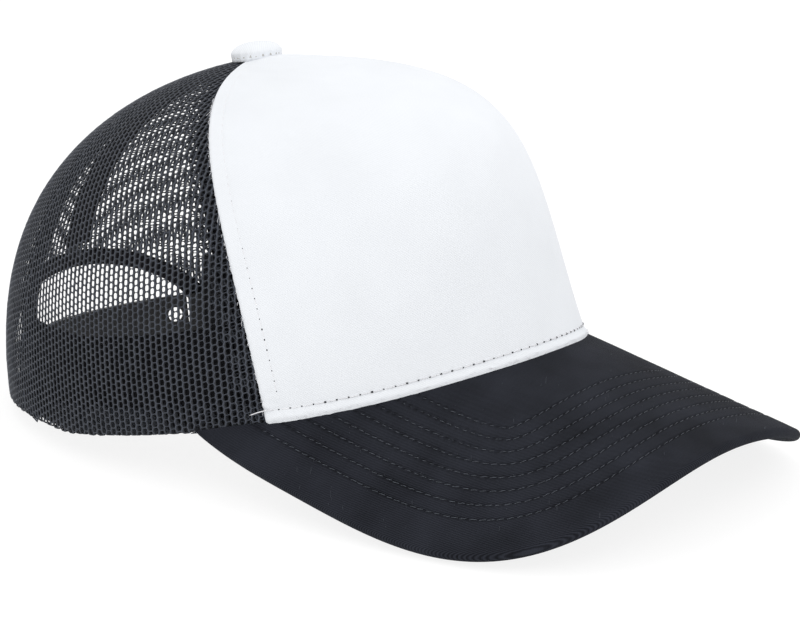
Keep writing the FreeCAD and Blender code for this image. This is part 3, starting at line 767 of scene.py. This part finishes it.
class Chart:
    """Flat coordinates on a strip of the crown: u across from a centre line, w down from the top."""

    def __init__(self, centre_at, first_angle, last_angle):
        self.angles = np.linspace(first_angle, last_angle, 220)
        rises = np.linspace(TOP_RISE, -0.06, 420)
        down = lengths_along(crown_point(self.angles[:, None], rises[None, :]))
        self.w = np.arange(0.0, CHART_DEPTH, 1.0)
        self.u = np.arange(-CHART_HALF_WIDTH, CHART_HALF_WIDTH + 0.01, 1.0)
        rise_rows = np.stack([np.interp(self.w, line, rises) for line in down])
        self.angle_table = np.empty((len(self.w), len(self.u)))
        self.rise_table = np.empty_like(self.angle_table)
        for k in range(len(self.w)):
            row_rise = rise_rows[:, k]
            travelled = lengths_along(crown_point(self.angles, row_rise))
            centre = np.interp(0.0, self.angles - centre_at(row_rise), travelled)
            self.angle_table[k] = np.interp(self.u, travelled - centre, self.angles)
            self.rise_table[k] = np.interp(self.angle_table[k], self.angles, row_rise)

    def look_up(self, u, w):
        column = np.clip((u - self.u[0]), 0, len(self.u) - 1.001)
        row = np.clip(w, 0, len(self.w) - 1.001)
        i, j = column.astype(int), row.astype(int)
        p, q = column - i, row - j
        found = []
        for table in (self.angle_table, self.rise_table):
            low = table[j, i] * (1 - p) + table[j, i + 1] * p
            high = table[j + 1, i] * (1 - p) + table[j + 1, i + 1] * p
            found.append(low * (1 - q) + high * q)
        return found

    def seam_u(self, seam):
        """Where a seam crosses each row."""
        gap = self.angle_table - seam(self.rise_table)
        return np.array([np.interp(0.0, line, self.u) for line in gap])

    def edge_w(self):
        """Where each column reaches the lower edge."""
        return np.array([np.interp(0.0, -column, self.w) for column in self.rise_table.T])


def folded(beyond, height):
    """A cloth that turns under at an edge: how far it is past the edge, how deep, and which way up."""
    wrap = math.pi * FOLD_RADIUS
    turn = np.clip(beyond / FOLD_RADIUS, 0, math.pi)
    past = np.where(beyond < 0, beyond, (FOLD_RADIUS + height) * np.sin(turn))
    past = np.where(beyond > wrap, wrap - beyond, past)
    return past, FOLD_RADIUS * (1 - np.cos(turn)), np.cos(turn)


def hole_outline():
    """A hole's rim, a rounded rectangle, as across and down from its middle."""
    power = 2 / HOLE_SQUARENESS
    across, down = np.cos(HOLE_TURNS), np.sin(HOLE_TURNS)
    return (HOLE_HALF_WIDTH * np.sign(across) * np.abs(across) ** power,
            HOLE_HALF_HEIGHT * np.sign(down) * np.abs(down) ** power)


def hex_lattice():
    """Middles of the holes over a whole chart, every second column half a row lower."""
    reach = math.floor((CHART_HALF_WIDTH + 5.0) / COLUMN_PITCH)
    columns = np.arange(-reach, reach + 1)
    rows = np.arange(1, math.floor((CHART_DEPTH - 1.0) / ROW_PITCH) + 1)
    c, r = np.meshgrid(columns, rows, indexing="ij")
    return np.stack([c * COLUMN_PITCH, (r + 0.5 * (c % 2)) * ROW_PITCH], -1).reshape(-1, 2)


def lattice_corners(centres):
    """The points where yarns meet, and which six of them lie round each hole."""
    side = (COLUMN_PITCH ** 2 + (ROW_PITCH / 2) ** 2) / 2 / COLUMN_PITCH
    top, half_row, grain = COLUMN_PITCH - side, ROW_PITCH / 2, 0.01
    offsets = np.array([(side, 0), (top, half_row), (-top, half_row),
                        (-side, 0), (-top, -half_row), (top, -half_row)])
    corners = centres[:, None, :] + offsets[None]
    keys = np.round(corners.reshape(-1, 2) / grain).astype(int)
    keys, which = np.unique(keys, axis=0, return_inverse=True)
    return keys * grain, which.reshape(-1, 6)


def knit_faces(which, corner_count):
    """Faces of the yarns on both sides, through the holes and round the panel's border."""
    count = len(which)
    half = corner_count + RIM_POINTS * count
    rings = corner_count + RIM_POINTS * np.arange(count)[:, None] + np.arange(RIM_POINTS)[None]
    quads, triangles, pairs = [], [], []
    for j in range(6):
        a, b = which[:, j], which[:, (j + 1) % 6]
        p, q, r = rings[:, 2 * j], rings[:, 2 * j + 1], rings[:, (2 * j + 2) % RIM_POINTS]
        quads.append(np.stack([a, b, r, q], -1))
        triangles.append(np.stack([a, q, p], -1))
        quads.append(np.stack([b, a, q, r], -1) + half)
        triangles.append(np.stack([q, a, p], -1) + half)
        pairs += np.stack([a, b], -1).tolist()
    for k in range(RIM_POINTS):
        p, q = rings[:, k], rings[:, (k + 1) % RIM_POINTS]
        quads.append(np.stack([p, q, q + half, p + half], -1))
    backwards = {(b, a) for a, b in pairs}
    a, b = np.array([pair for pair in pairs if tuple(pair) not in backwards]).T
    quads.append(np.stack([b, a, a + half, b + half], -1))
    return np.concatenate(quads).tolist() + np.concatenate(triangles).tolist()


class Panel:
    """A strip of a chart between two seams and the lower edge, whose edges turn under."""

    def __init__(self, chart, first_seam, second_seam, allowances, tuck):
        self.chart, self.tuck = chart, tuck
        self.first_u, self.second_u = chart.seam_u(first_seam), chart.seam_u(second_seam)
        self.edge = chart.edge_w()
        self.allowances = allowances

    def beyond_edges(self, u, w):
        """How far places lie past the first seam, the second seam and the lower edge."""
        row = np.clip(w, 0, len(self.chart.w) - 1)
        before = np.interp(row, self.chart.w, self.first_u) - self.tuck - u
        after = u - np.interp(row, self.chart.w, self.second_u)
        return before, after, w - np.interp(u, self.chart.u, self.edge)

    def place(self, u, w, height):
        """The crown's angle, rise and depth of places a height above the cloth's middle."""
        before, after, below = self.beyond_edges(u, w)
        past_first, sunk_first, flip_first = folded(before, height)
        past_second, sunk_second, flip_second = folded(after, height * flip_first)
        past_edge, sunk_edge, flip_edge = folded(below, height * flip_first * flip_second)
        u = u + (before - past_first) - (after - past_second)
        w = w - (below - past_edge)
        sunk = sunk_first + sunk_second + sunk_edge
        angle, rise = self.chart.look_up(u, w)
        return angle, rise, MESH_DEPTH + sunk - height * flip_first * flip_second * flip_edge

    def hole_centres(self, keep):
        """Middles of the holes that the panel and its turned edges have room for."""
        centres = hex_lattice()
        u, w = centres.T
        before, after, below = self.beyond_edges(u, w)
        row = np.clip(w, 0, len(self.chart.w) - 1)
        spare = np.minimum(1.0, np.interp(row, self.chart.w, self.second_u - self.first_u) / 40.0)
        first_width, second_width = self.allowances
        fits = (before < first_width * spare) & (after < second_width * spare) & (below < HEM_WIDTH)
        centres = centres[fits]
        angle, rise, _ = self.place(centres[:, 0], centres[:, 1], np.zeros(len(centres)))
        return centres[keep(crown_point(angle, rise)) & (rise < TOP_RISE - 0.004)]

    def surface(self, places, height):
        height = np.broadcast_to(height, places.shape[:-1])
        return crown_layer(*self.place(places[..., 0], places[..., 1], height)).reshape(-1, 3)


def add_knit(name, cut, sign, keep, nodes):
    """A panel of knitted mesh, made of real holes between real yarns."""
    dice = np.random.default_rng(SEED + 11)
    centres = cut.hole_centres(keep)
    corners, which = lattice_corners(centres)
    corners = corners + dice.normal(0, UNEVEN, corners.shape)
    count = len(centres)
    swell = 1 + dice.normal(0, UNEVEN, (count, 1))
    middle = centres + dice.normal(0, UNEVEN, (count, 2))
    rim_across, rim_down = hole_outline()
    ring = np.stack([middle[:, 0:1] + swell * rim_across, middle[:, 1:2] + swell * rim_down], -1)
    crest = YARN_HALF * (1 + dice.normal(0, 0.08, len(corners)))
    points = np.concatenate([cut.surface(corners, crest), cut.surface(ring, RIM_HALF),
                             cut.surface(corners, -crest), cut.surface(ring, -RIM_HALF)])
    flat_places = np.concatenate([corners, ring.reshape(-1, 2)])
    # The cloth attribute's z is 1 at the yarn's crest points, where the yarn material paints a highlight.
    painted_crest_highlight = (np.arange(len(flat_places)) < len(corners)) * 1.0
    cloth = np.concatenate([flat_places, painted_crest_highlight[:, None]], 1)
    panel = add_mesh(name, points * (sign, 1, 1), knit_faces(which, len(corners)),
                     np.concatenate([cloth, cloth]))
    stand_for(panel, MESH_YARN, "black_mesh", *nodes)


def arch_height(across, grow):
    """Height of the rear opening's edge over a place across the back, grown outwards."""
    half, rise = ARCH_HALF_WIDTH + grow, ARCH_RISE + grow
    inside = np.clip(1 - (across / half) ** 2, 0, 1)
    return np.where(np.abs(across) < half, ARCH_STRAIGHT + rise * np.sqrt(inside), -1.0)


def add_mesh_panels():
    def centre_of(first, second):
        return lambda rise: (first(rise) + second(rise)) / 2

    def everywhere(points):
        return np.ones(len(points), bool)

    def outside_arch(points):
        return (points[:, 2] > arch_height(points[:, 0], 1.6)) | (points[:, 1] < 0)

    side_chart = Chart(centre_of(front_seam, rear_seam), 30.0, 165.0)
    back_chart = Chart(centre_of(rear_seam, back_seam), 95.0, 215.0)
    side_cut = Panel(side_chart, front_seam, rear_seam, (11.0, 7.0), 0.9)
    back_cut = Panel(back_chart, rear_seam, back_seam, (7.0, 6.0), 0.0)
    for side, sign in SIDES:
        add_knit(f"side_mesh_{side}_knit", side_cut, sign, everywhere, (f"side_mesh_{side}", f"hem_{side}"))
        add_knit(f"back_mesh_{side}_knit", back_cut, sign, outside_arch, (f"back_mesh_{side}",))


# ---------------------------------------------------------------- tapes, binding and sweatband
TAPE_HALF_WIDTH, TAPE_STITCH, TAPE_BOTTOM, TAPE_TOP = 6.0, 4.4, 0.012, 0.955


def add_tape(name, seam, sign, bottom, node_name):
    """A tape along the inside of a seam. Gives its two rows of stitching back."""
    half_width, widest_turn = TAPE_HALF_WIDTH, 16.0
    rises = np.linspace(bottom, TAPE_TOP, 120)[None, :]
    share = np.linspace(-1, 1, 15)[:, None]
    centre = seam(rises)
    per_degree = mm_per_degree(centre, rises)
    half_turn = np.minimum(half_width / per_degree, widest_turn)
    angles = sign * (centre + half_turn * share)
    rises = rises + 0 * share
    upward = lengths_along(crown_point(angles, rises))
    across = share * half_width + 0 * upward
    groove = 0.12 * near(np.abs(across), TAPE_STITCH, 0.6) - 0.10 * ripple(across, upward, 9.0, SEED + 3)
    edge = 0.2 * near(np.abs(across), half_width, 0.5)
    outer = crown_layer(angles, rises, 1.85 + edge)
    inner = crown_layer(angles, rises, 2.42 - groove - edge)
    tape = add_slab(name, outer, inner, flat_coordinates(across, upward))
    stand_for(tape, TAPE_CLOTH, "seam_tape", node_name)
    declare_sheet(outer)
    rows = []
    for place in (-TAPE_STITCH, TAPE_STITCH):
        line = sign * (centre[0] + np.clip(place / per_degree[0], -widest_turn, widest_turn))
        rows.append(inwards(crown_path(line, rises[0], 2.36)))
    return rows


def add_tapes():
    rows = []
    for side, sign in SIDES:
        rows += add_tape(f"front_tape_{side}", front_seam, sign, TAPE_BOTTOM,
                         f"seam_tape_front_{side}")
        rows += add_tape(f"rear_tape_{side}", rear_seam, sign, TAPE_BOTTOM,
                         f"seam_tape_rear_{side}")
    above_arch = ARCH_STRAIGHT + ARCH_RISE + BINDING_WIDTH + 4.0
    bottom = float(rise_at(np.array([180.0]), np.array([above_arch]))[0])
    rows += add_tape("back_tape", back_seam, 1, bottom, "seam_tape_back")
    add_stitches("tape_stitching", rows, BLACK_THREAD, 3.2, 0.85, 0.18)


def wall_at(across, height):
    """Angles and rises of the back wall's points with a given x and z."""
    angle = np.full(np.shape(across), 180.0)
    rise = height / APEX_HEIGHT / 2
    for _ in range(25):
        side_reach = crown_point(angle + 0.01, rise)[..., 0] - crown_point(angle - 0.01, rise)[..., 0]
        angle = angle + (across - crown_point(angle, rise)[..., 0]) / side_reach * 0.02
        here = crown_point(angle, rise)[..., 2]
        slope = (crown_point(angle, rise + 0.001)[..., 2] - here) / 0.001
        rise = rise + (height - here) / slope
    return angle, rise


def arch_edge(along, grow):
    """Points of the opening's edge in the XZ plane, grown outwards. Along runs from 0 to 1."""
    half, rise = ARCH_HALF_WIDTH + grow, ARCH_RISE + grow
    floor, side_share = 2.2, 0.18
    turn = math.pi * (np.clip(along, side_share, 1 - side_share) - side_share) / (1 - 2 * side_share)
    across, height = -half * np.cos(turn), ARCH_STRAIGHT + rise * np.sin(turn)
    leg = np.minimum(along, 1 - along) / side_share
    height = np.where(leg < 1, floor + (ARCH_STRAIGHT - floor) * leg, height)
    return across, height


def binding_section(share, gap):
    """Section of a folded tape: outer leaf, round fold, inner leaf. Gives distance in and depth."""
    middle, leaf_share = 0.5, 0.36
    radius = middle + gap
    turn = math.pi * (np.clip(share, leaf_share, 1 - leaf_share) - leaf_share) / (1 - 2 * leaf_share)
    leaf = np.maximum(1 - np.minimum(share, 1 - share) / leaf_share, 0)
    return BINDING_WIDTH * leaf - radius * np.sin(turn), middle - radius * np.cos(turn)


def add_binding():
    along = np.linspace(0, 1, 220)[:, None]
    share = np.linspace(0, 1, 41)[None, :]
    stitch_line, rib = 3.3, 0.05

    def layer(gap):
        inward, depth = binding_section(share, gap)
        angle, rise = wall_at(*arch_edge(along + 0 * share, inward + 0 * along))
        side = np.where(share < 0.5, -1.0, 1.0)
        dent = 0.14 * near(inward, stitch_line, 0.6) + rib * ripple(along * 190, inward, 5.0, SEED + 4)
        tuck = 0.25 * near(inward, BINDING_WIDTH, 0.5)
        return crown_layer(angle, rise, depth - side * (dent + tuck) * (gap > 0.3))
    cloth = flat_coordinates(along * 175.0, share * 11.0)
    binding = add_slab("arch_binding_tape", layer(0.72), layer(0.06), cloth)
    stand_for(binding, TAPE_CLOTH, "binding_tape", "arch_binding")
    declare_sheet(layer(0.4))
    rows = []
    for depth, turn_in in ((-0.12, False), (1.14, True)):
        line = np.linspace(0.01, 0.99, 260)
        angle, rise = wall_at(*arch_edge(line, stitch_line))
        path = crown_path(angle, rise, depth)
        rows.append(inwards(path) if turn_in else path)
    add_stitches("binding_stitching", rows, BLACK_THREAD, 3.0, 0.85, 0.18)


BAND_BOTTOM, BAND_TOP, BAND_STITCH = -0.8, 30.6, 28.2
BAND_INSET, BAND_REAR_INSET = 2.7, 6.4
BAND_END = 180 - math.degrees(math.asin((ARCH_HALF_WIDTH + 1.5) / CROWN_HALF_WIDTH))


def band_inset(angle):
    """The sweatband bulges inwards where it passes the strap tabs."""
    return BAND_INSET + (BAND_REAR_INSET - BAND_INSET) * smooth_step((np.abs(angle) - 112.0) / 24.0)


def add_sweatband():
    angles = BAND_END * np.linspace(-1, 1, 420)[:, None]
    upward = np.linspace(BAND_BOTTOM, BAND_TOP, 46)[None, :]
    inset = band_inset(angles)
    hang = 0.2 * (inset - BAND_INSET) * smooth_step((8.0 - upward) / 8.0)
    rises = rise_at(angles + 0 * upward, upward - hang)
    along = lengths_along(crown_point(angles + 0 * upward, rises).transpose(1, 0, 2)).T
    pucker = 0.16 * np.sin(along * 2 * math.pi / 4.4) * near(upward, 28.0, 2.5)
    soft = 0.30 * ripple(along, upward, 21.0, SEED + 6)
    bulge = 0.45 * np.sin(math.pi * np.clip(upward / 27.5, 0, 1))
    groove = -0.30 * near(upward, BAND_STITCH, 0.7)
    edge = 0.45 * (near(upward, BAND_TOP, 0.7) + near(upward, BAND_BOTTOM, 0.7))
    outer = crown_layer(angles + 0 * upward, rises, inset + 0.15 + edge)
    inner = crown_layer(angles + 0 * upward, rises, inset + 1.2 + pucker + soft + bulge + groove - edge)
    band = add_slab("sweatband_cloth", outer, inner, flat_coordinates(along, upward))
    stand_for(band, BAND_CLOTH, "sweatband_cloth", "sweatband")
    declare_sheet(inner)
    line = BAND_END * np.linspace(-0.995, 0.995, 500)
    level = rise_at(line, BAND_STITCH)
    outside = crown_path(line, level, band_inset(line) + 0.08)
    inside = inwards(crown_path(line, level, band_inset(line) + 1.0))
    add_stitches("band_stitching", [outside, inside], BLACK_THREAD, 3.4, 0.85, 0.2)


# ---------------------------------------------------------------- visor
ROW_INSETS = [12.3 + 4.95 * row for row in range(8)]
GROOVE_WIDTH, STITCH_DEPTH = 0.45, 0.20
CLOTH_THICKNESS, BOARD_INSET = 0.62, 0.72
END_TAPER, END_THICKNESS = 9.0, 0.35


def bent_plan(across, ahead):
    """Where a point of the flat visor comes to lie once the visor is bent and pitched."""
    turn = across / VISOR_BEND
    drop = VISOR_BEND * (1 - np.cos(turn))
    return VISOR_BEND * np.sin(turn), -ahead * math.cos(VISOR_PITCH) + drop * math.sin(VISOR_PITCH)


def visor_normal(x):
    """The direction away from the bent visor's top at a place across it."""
    sine = x / VISOR_BEND
    cosine = np.sqrt(1 - sine ** 2)
    return np.stack([sine, -cosine * math.sin(VISOR_PITCH), cosine * math.cos(VISOR_PITCH)], -1)


def visor_outline(turn):
    """The flat outline at an angle from straight ahead: across, and ahead of the middle."""
    across_part = np.abs(np.sin(turn) / VISOR_HALF_WIDTH) ** VISOR_SQUARENESS
    ahead_part = np.abs(np.cos(turn) / VISOR_HALF_LENGTH) ** VISOR_SQUARENESS
    radius = (across_part + ahead_part) ** (-1 / VISOR_SQUARENESS)
    return radius * np.sin(turn), VISOR_CENTRE + radius * np.cos(turn)


def outline_end():
    """The outline's angle where it comes nearest to the crown at the visor's end."""
    end_x, end_y = edge_plan(VISOR_END_ANGLE)
    turns = np.radians(90 + 0.25 * np.arange(240))
    across, along = bent_plan(*visor_outline(turns))
    return turns[np.argmin(np.hypot(across - abs(end_x), along - end_y))]


OUTLINE_END = outline_end()


def visor_seat(angle, depth):
    """Where a layer of the visor meets the crown's wall, a hair outside it."""
    angle, depth = np.broadcast_arrays(angle, depth)
    rises = np.linspace(0, -0.12, 121)
    lines = angle[:, :1]
    heights = crown_point(lines, rises[None, :])[..., 2]
    level = crown_point(angle, 0.0)[..., 2] - depth
    rise = np.stack([np.interp(-level[k], -heights[k], rises) for k in range(len(angle))])
    return crown_point(angle, rise) + crown_normal(angle, rise) * 0.12


def thinned(angle, depth):
    """The visor's layers come together towards its two ends."""
    full = smooth_step((CLOTH_END_ANGLE - np.abs(angle)) / END_TAPER)
    return depth * (END_THICKNESS + (1 - END_THICKNESS) * full)


def visor_point(angle, out, depth):
    """A point of the visor: its angle along the crown, its share outwards, its depth from the top."""
    depth = thinned(angle, depth)

    def top_point(out):
        inner = visor_seat(angle, 0.0 * angle)
        outer_x, outer_y = bent_plan(*visor_outline(-OUTLINE_END * angle / VISOR_END_ANGLE))
        reach_x, reach_y = outer_x - inner[..., 0], outer_y - inner[..., 1]
        edge_x, edge_y = edge_plan(angle)
        away = unit(np.stack([edge_x, edge_y - APEX_BACK], -1))
        short = np.maximum(3.0 - np.hypot(reach_x, reach_y), 0)
        x = inner[..., 0] + (reach_x + away[..., 0] * short) * out
        y = inner[..., 1] + (reach_y + away[..., 1] * short) * out
        droop = visor_cylinder_height(inner[..., 0], inner[..., 1]) - inner[..., 2]
        return np.stack([x, y, visor_cylinder_height(x, y) - droop * (1 - out) ** 2], -1)

    top, root = top_point(out), top_point(0.0 * out)
    normal, root_normal = visor_normal(top[..., 0]), visor_normal(root[..., 0])
    seat = visor_seat(angle, depth * root_normal[..., 2])
    back_to_wall = seat - (root - root_normal * depth[..., None])
    return top - normal * depth[..., None] + back_to_wall * (1 - out[..., None]) ** 6, normal


def flat_visor(points):
    """Back from the bent visor to its flat outline's coordinates."""
    turn = np.arcsin(np.clip(points[..., 0] / VISOR_BEND, -1, 1))
    drop = VISOR_BEND * (1 - np.cos(turn))
    return turn * VISOR_BEND, (drop * math.sin(VISOR_PITCH) - points[..., 1]) / math.cos(VISOR_PITCH)


def distance_to_outline(across, ahead):
    turns = np.linspace(-2.5, 2.5, 700)
    edge_across, edge_ahead = visor_outline(turns)
    nearest = np.full(across.shape, 1e9)
    for x, y in zip(edge_across, edge_ahead):
        nearest = np.minimum(nearest, (across - x) ** 2 + (ahead - y) ** 2)
    return np.sqrt(nearest)


def visor_grid(columns, rows, edge_rows, radius, side, end_angle=CLOTH_END_ANGLE):
    """Outer face of one half of the visor, wrapped round its edge. side 1 is the top, -1 underneath."""
    half = VISOR_DEPTH / 2
    angle = np.linspace(-end_angle, end_angle, columns)[:, None]
    inner = visor_seat(angle, 0.0 * angle)[..., :2]
    outer = np.stack(bent_plan(*visor_outline(-OUTLINE_END * angle / VISOR_END_ANGLE)), -1)
    length = np.maximum(np.linalg.norm(outer - inner, axis=-1), 3.0)
    flat_part = (1 - half / length) * np.linspace(0, 1, rows, endpoint=False)[None, :]
    turn = np.linspace(0, math.pi / 2, edge_rows)[None, :]
    wrapped = 1 - (half - radius * np.sin(turn)) / length
    out = np.concatenate([flat_part, wrapped], 1)
    depth = np.concatenate([np.full(flat_part.shape, half - radius),
                            half - radius * np.cos(turn) + 0 * length], 1)
    depth = depth if side > 0 else VISOR_DEPTH - depth
    return angle + 0 * out, out, depth


def grooves(inset):
    """1 along each row of stitching, 0 between them."""
    return sum(near(inset, row_inset, GROOVE_WIDTH) for row_inset in ROW_INSETS)


def add_visor_cloth(name, side, node_name):
    half = VISOR_DEPTH / 2
    angle, out, depth = visor_grid(190, 170, 14, half, side)
    base, _ = visor_point(angle, out, depth)
    across, ahead = flat_visor(base)
    inset = distance_to_outline(across, ahead)
    sunk = grooves(inset) * smooth_step((1 - out) * 12)
    waves = ripple(across, ahead, 30.0, SEED + 7 + side) * smooth_step((1 - out) * 12)
    dent = 0.26 * sunk - 0.10 * waves
    outer, _ = visor_point(angle, out, depth + side * dent)
    angle, out, depth = visor_grid(190, 170, 14, half - CLOTH_THICKNESS, side)
    inner, _ = visor_point(angle, out, depth)
    # The groove mask rides in the cloth attribute's z, where the navy twill paints shade into the grooves.
    piece = add_slab(name, outer, inner, np.stack([across, ahead, sunk], -1))
    stand_for(piece, NAVY_TWILL, "visor_twill", node_name)
    declare_sheet(outer)


def add_visor_board():
    halves = []
    for side in (1, -1):
        angle, out, depth = visor_grid(90, 40, 8, VISOR_DEPTH / 2 - BOARD_INSET, side, BOARD_END_ANGLE)
        halves.append(visor_point(angle, np.minimum(out, 1.0), depth)[0])
    points, faces = slab(*halves)
    board = add_mesh("visor_board_core", points, faces, points)
    stand_for(board, BOARD_PLASTIC, "visor_board", "visor_board")


def stitch_row(inset, side):
    """One row of visor stitching: a line at a distance inside the outline, lifted onto the cloth."""
    turns = np.linspace(-2.3, 2.3, 1400)
    across, ahead = visor_outline(turns)
    edge = np.stack([across, ahead], -1)
    along = unit(np.gradient(edge, axis=0))
    inner = edge + np.stack([along[:, 1], -along[:, 0]], -1) * inset
    span = 12
    window = np.ones(2 * span + 1) / (2 * span + 1)
    x, y = bent_plan(*[np.convolve(np.pad(line, span, mode="edge"), window, "valid") for line in inner.T])
    beyond_wall = np.hypot(x / (CROWN_HALF_WIDTH + 2.0), y / (CROWN_FRONT + 2.0)) > 1
    before_end = y < edge_plan(VISOR_END_ANGLE)[1] - 3.0
    x, y = x[beyond_wall & before_end], y[beyond_wall & before_end]
    normal = visor_normal(x)
    top = np.stack([x, y, visor_cylinder_height(x, y) - droop_at(x, y)], -1)
    depth = STITCH_DEPTH if side > 0 else VISOR_DEPTH - STITCH_DEPTH
    return top - normal * depth, normal * side


def droop_at(x, y):
    """How far the visor's top hangs below its cylinder near the ends, read from a coarse grid."""
    angle = np.linspace(-VISOR_END_ANGLE, VISOR_END_ANGLE, 153)[:, None]
    out = np.linspace(0, 1, 60)[None, :]
    grid, _ = visor_point(angle + 0 * out, out + 0 * angle, 0.0 * out + 0.0 * angle)
    droop = visor_cylinder_height(grid[..., 0], grid[..., 1]) - grid[..., 2]
    found = np.empty(len(x))
    flat = grid.reshape(-1, 3)
    for index in range(len(x)):
        distance = (flat[:, 0] - x[index]) ** 2 + (flat[:, 1] - y[index]) ** 2
        nearest = np.argpartition(distance, 4)[:4]
        weight = 1 / (distance[nearest] + 0.05)
        found[index] = (droop.reshape(-1)[nearest] * weight).sum() / weight.sum()
    return found


def visor_fibre_root(dice):
    """A place on the visor's upper face or rim."""
    angle = np.array([[dice.uniform(-52.0, 60.0)]])
    out = np.array([[dice.uniform(0.08, 1.0)]])
    point, normal = visor_point(angle, out, np.zeros((1, 1)))
    across = np.array([0.6, -0.8, 0.0])
    return point[0, 0], normal[0, 0], unit(np.cross(normal[0, 0], across))


def add_visor():
    add_visor_board()
    add_visor_cloth("visor_top_twill", 1, "visor_top_cloth")
    add_visor_cloth("visor_under_twill", -1, "visor_under_cloth")
    for side, name in ((1, "visor_stitching_top"), (-1, "visor_stitching_under")):
        rows = [stitch_row(inset, side) for inset in ROW_INSETS]
        add_stitches(name, rows, DARK_THREAD, 2.7, 0.82, 0.095,
                     seed=SEED + 30 + side, slant=0.15 * side)
    add_fuzz("visor_fibres", 130, 0.03, DARK_THREAD, visor_fibre_root, SEED + 42)


# ---------------------------------------------------------------- button
def tipped(x, y, z, lean, back, up):
    """Points tipped over backwards by an angle, then moved back and up."""
    cosine, sine = math.cos(-lean), math.sin(-lean)
    return np.stack([x, back + y * cosine - z * sine, up + y * sine + z * cosine], -1)


def on_seat(points):
    """From the button's own frame, its axis up, to the tilted seat at the crown's top."""
    return tipped(points[..., 0], points[..., 1], points[..., 2] + BUTTON_LIFT,
                  BUTTON_TILT, APEX_BACK, APEX_HEIGHT)


def add_button():
    turns = np.linspace(0, 2 * math.pi, 144, endpoint=False)[:, None]
    share = np.linspace(0.02, 1, 34)[None, :]
    bend = share * math.pi / 2
    gathers = np.sin(turns * 22 + 0.8 * np.sin(turns * 5)) + 0.5 * np.sin(turns * 37 + 1.3)
    fold = 0.13 * gathers * smooth_step((share - 0.45) / 0.5)

    def dome(shrink):
        tuck = 0.5 * smooth_step((share - 0.8) / 0.2)
        radius = (BUTTON_RADIUS - 0.1 - shrink) * np.sin(bend) ** 0.9 - tuck + fold
        full_height = BUTTON_DOME + 0.4 + BUTTON_SKIRT - shrink
        height = full_height * np.maximum(np.cos(bend), 0) ** 0.62 - BUTTON_SKIRT
        return on_seat(np.stack([radius * np.cos(turns), radius * np.sin(turns), height + 0 * turns], -1))
    outer, inner = dome(0.0), dome(0.55)
    rows, columns = share.shape[1], turns.shape[0]
    count = rows * columns
    points, faces = two_sided(outer, inner, wrap=True)
    for here in range(columns):
        there = (here + 1) % columns
        faces.append([there * rows + rows - 1, here * rows + rows - 1,
                      here * rows + rows - 1 + count, there * rows + rows - 1 + count])
    faces.append([k * rows for k in range(columns)])
    faces.append([k * rows + count for k in range(columns)][::-1])
    reach = share * (BUTTON_RADIUS + BUTTON_DOME * 0.5)
    cloth = flat_coordinates(reach * np.cos(turns), reach * np.sin(turns)).reshape(-1, 3)
    cover = add_mesh("button_cover_cloth", points, faces, both_faces(cloth))
    stand_for(cover, WHITE_TWILL, "white_twill", "button_cover")
    declare_sheet(outer)


# ---------------------------------------------------------------- straps and metal keep their CAD shape
def dress_cad_nodes():
    for name in ("hole_strap", "stud_strap", "strap_tab_left", "strap_tab_right"):
        dress(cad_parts[name], BLACK_PLASTIC)
    for name in ("button_shell", "button_rivet", "button_washer"):
        dress(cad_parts[name], BUTTON_METAL)


def strap_point(radius, angle, height):
    """A point about the straps' bend axis, which leans out with the crown's wall."""
    turn = np.radians(angle)
    return tipped(radius * np.sin(turn), radius * np.cos(turn) - STRAP_BEND, height,
                  STRAP_LEAN, CROWN_BACK, 0.0)


def add_tab_stitches():
    rows = []
    for sign, inset in ((1, STRAP_INSET), (-1, STRAP_INSET + 1.5)):
        outer = STRAP_BEND - inset
        for turn in (40.6, 44.6):
            heights = np.linspace(STRAP_LOW + 1.5, STRAP_LOW + STRAP_WIDTH - 1.5, 20)
            angle = np.full(20, sign * turn)
            path = strap_point(outer, angle, heights)
            away = unit(strap_point(outer + 1, angle, heights) - path)
            rows.append((path, away))
    add_stitches("tab_stitching", rows, BLACK_THREAD, 2.8, 0.85, 0.22)


# ---------------------------------------------------------------- table, light and world
def add_stage():
    """A lit white table, so that shadows on it stay pale."""
    size, floor_level = 4.0, -0.0003
    corners = [(-size, -size, floor_level), (size, -size, floor_level),
               (size, size, floor_level), (-size, size, floor_level)]
    mesh = bpy.data.meshes.new("table")
    mesh.from_pydata(corners, [], [(0, 1, 2, 3)])
    material, _, _ = new_material("table_top", Base_Color=(0.20, 0.20, 0.20, 1), Roughness=0.9,
                                  Specular_IOR_Level=0.1, Emission_Color=(1, 1, 1, 1),
                                  Emission_Strength=0.84)
    mesh.materials.append(material)
    add_object("table", mesh)


def add_light(name, location, energy, size):
    """A lamp that faces the middle of the cap."""
    lamp = bpy.data.lights.new(name, "AREA")
    lamp.energy, lamp.size = energy, size
    light = add_object(name, lamp)
    light.location = location
    look_along(light, Vector((0, 0, 0.06)) - Vector(location))


def add_lights():
    world = bpy.data.worlds.new("studio")
    world.use_nodes = True
    backdrop = world.node_tree.nodes["Background"]
    backdrop.inputs["Color"].default_value = (1, 1, 1, 1)
    backdrop.inputs["Strength"].default_value = 1.0
    bpy.context.scene.world = world
    add_light("key_light", (-0.9, -0.9, 1.3), 4.0, 0.9)
    add_light("fill_light", (0.9, -1.1, 0.8), 1.5, 1.0)
    add_light("top_light", (0.2, 0.4, 1.6), 2.5, 1.0)
    bpy.context.scene.view_settings.view_transform = "Standard"


add_camera()
add_front()
add_mesh_panels()
add_tapes()
add_binding()
add_sweatband()
add_visor()
add_button()
dress_cad_nodes()
add_tab_stitches()
add_stage()
add_lights()
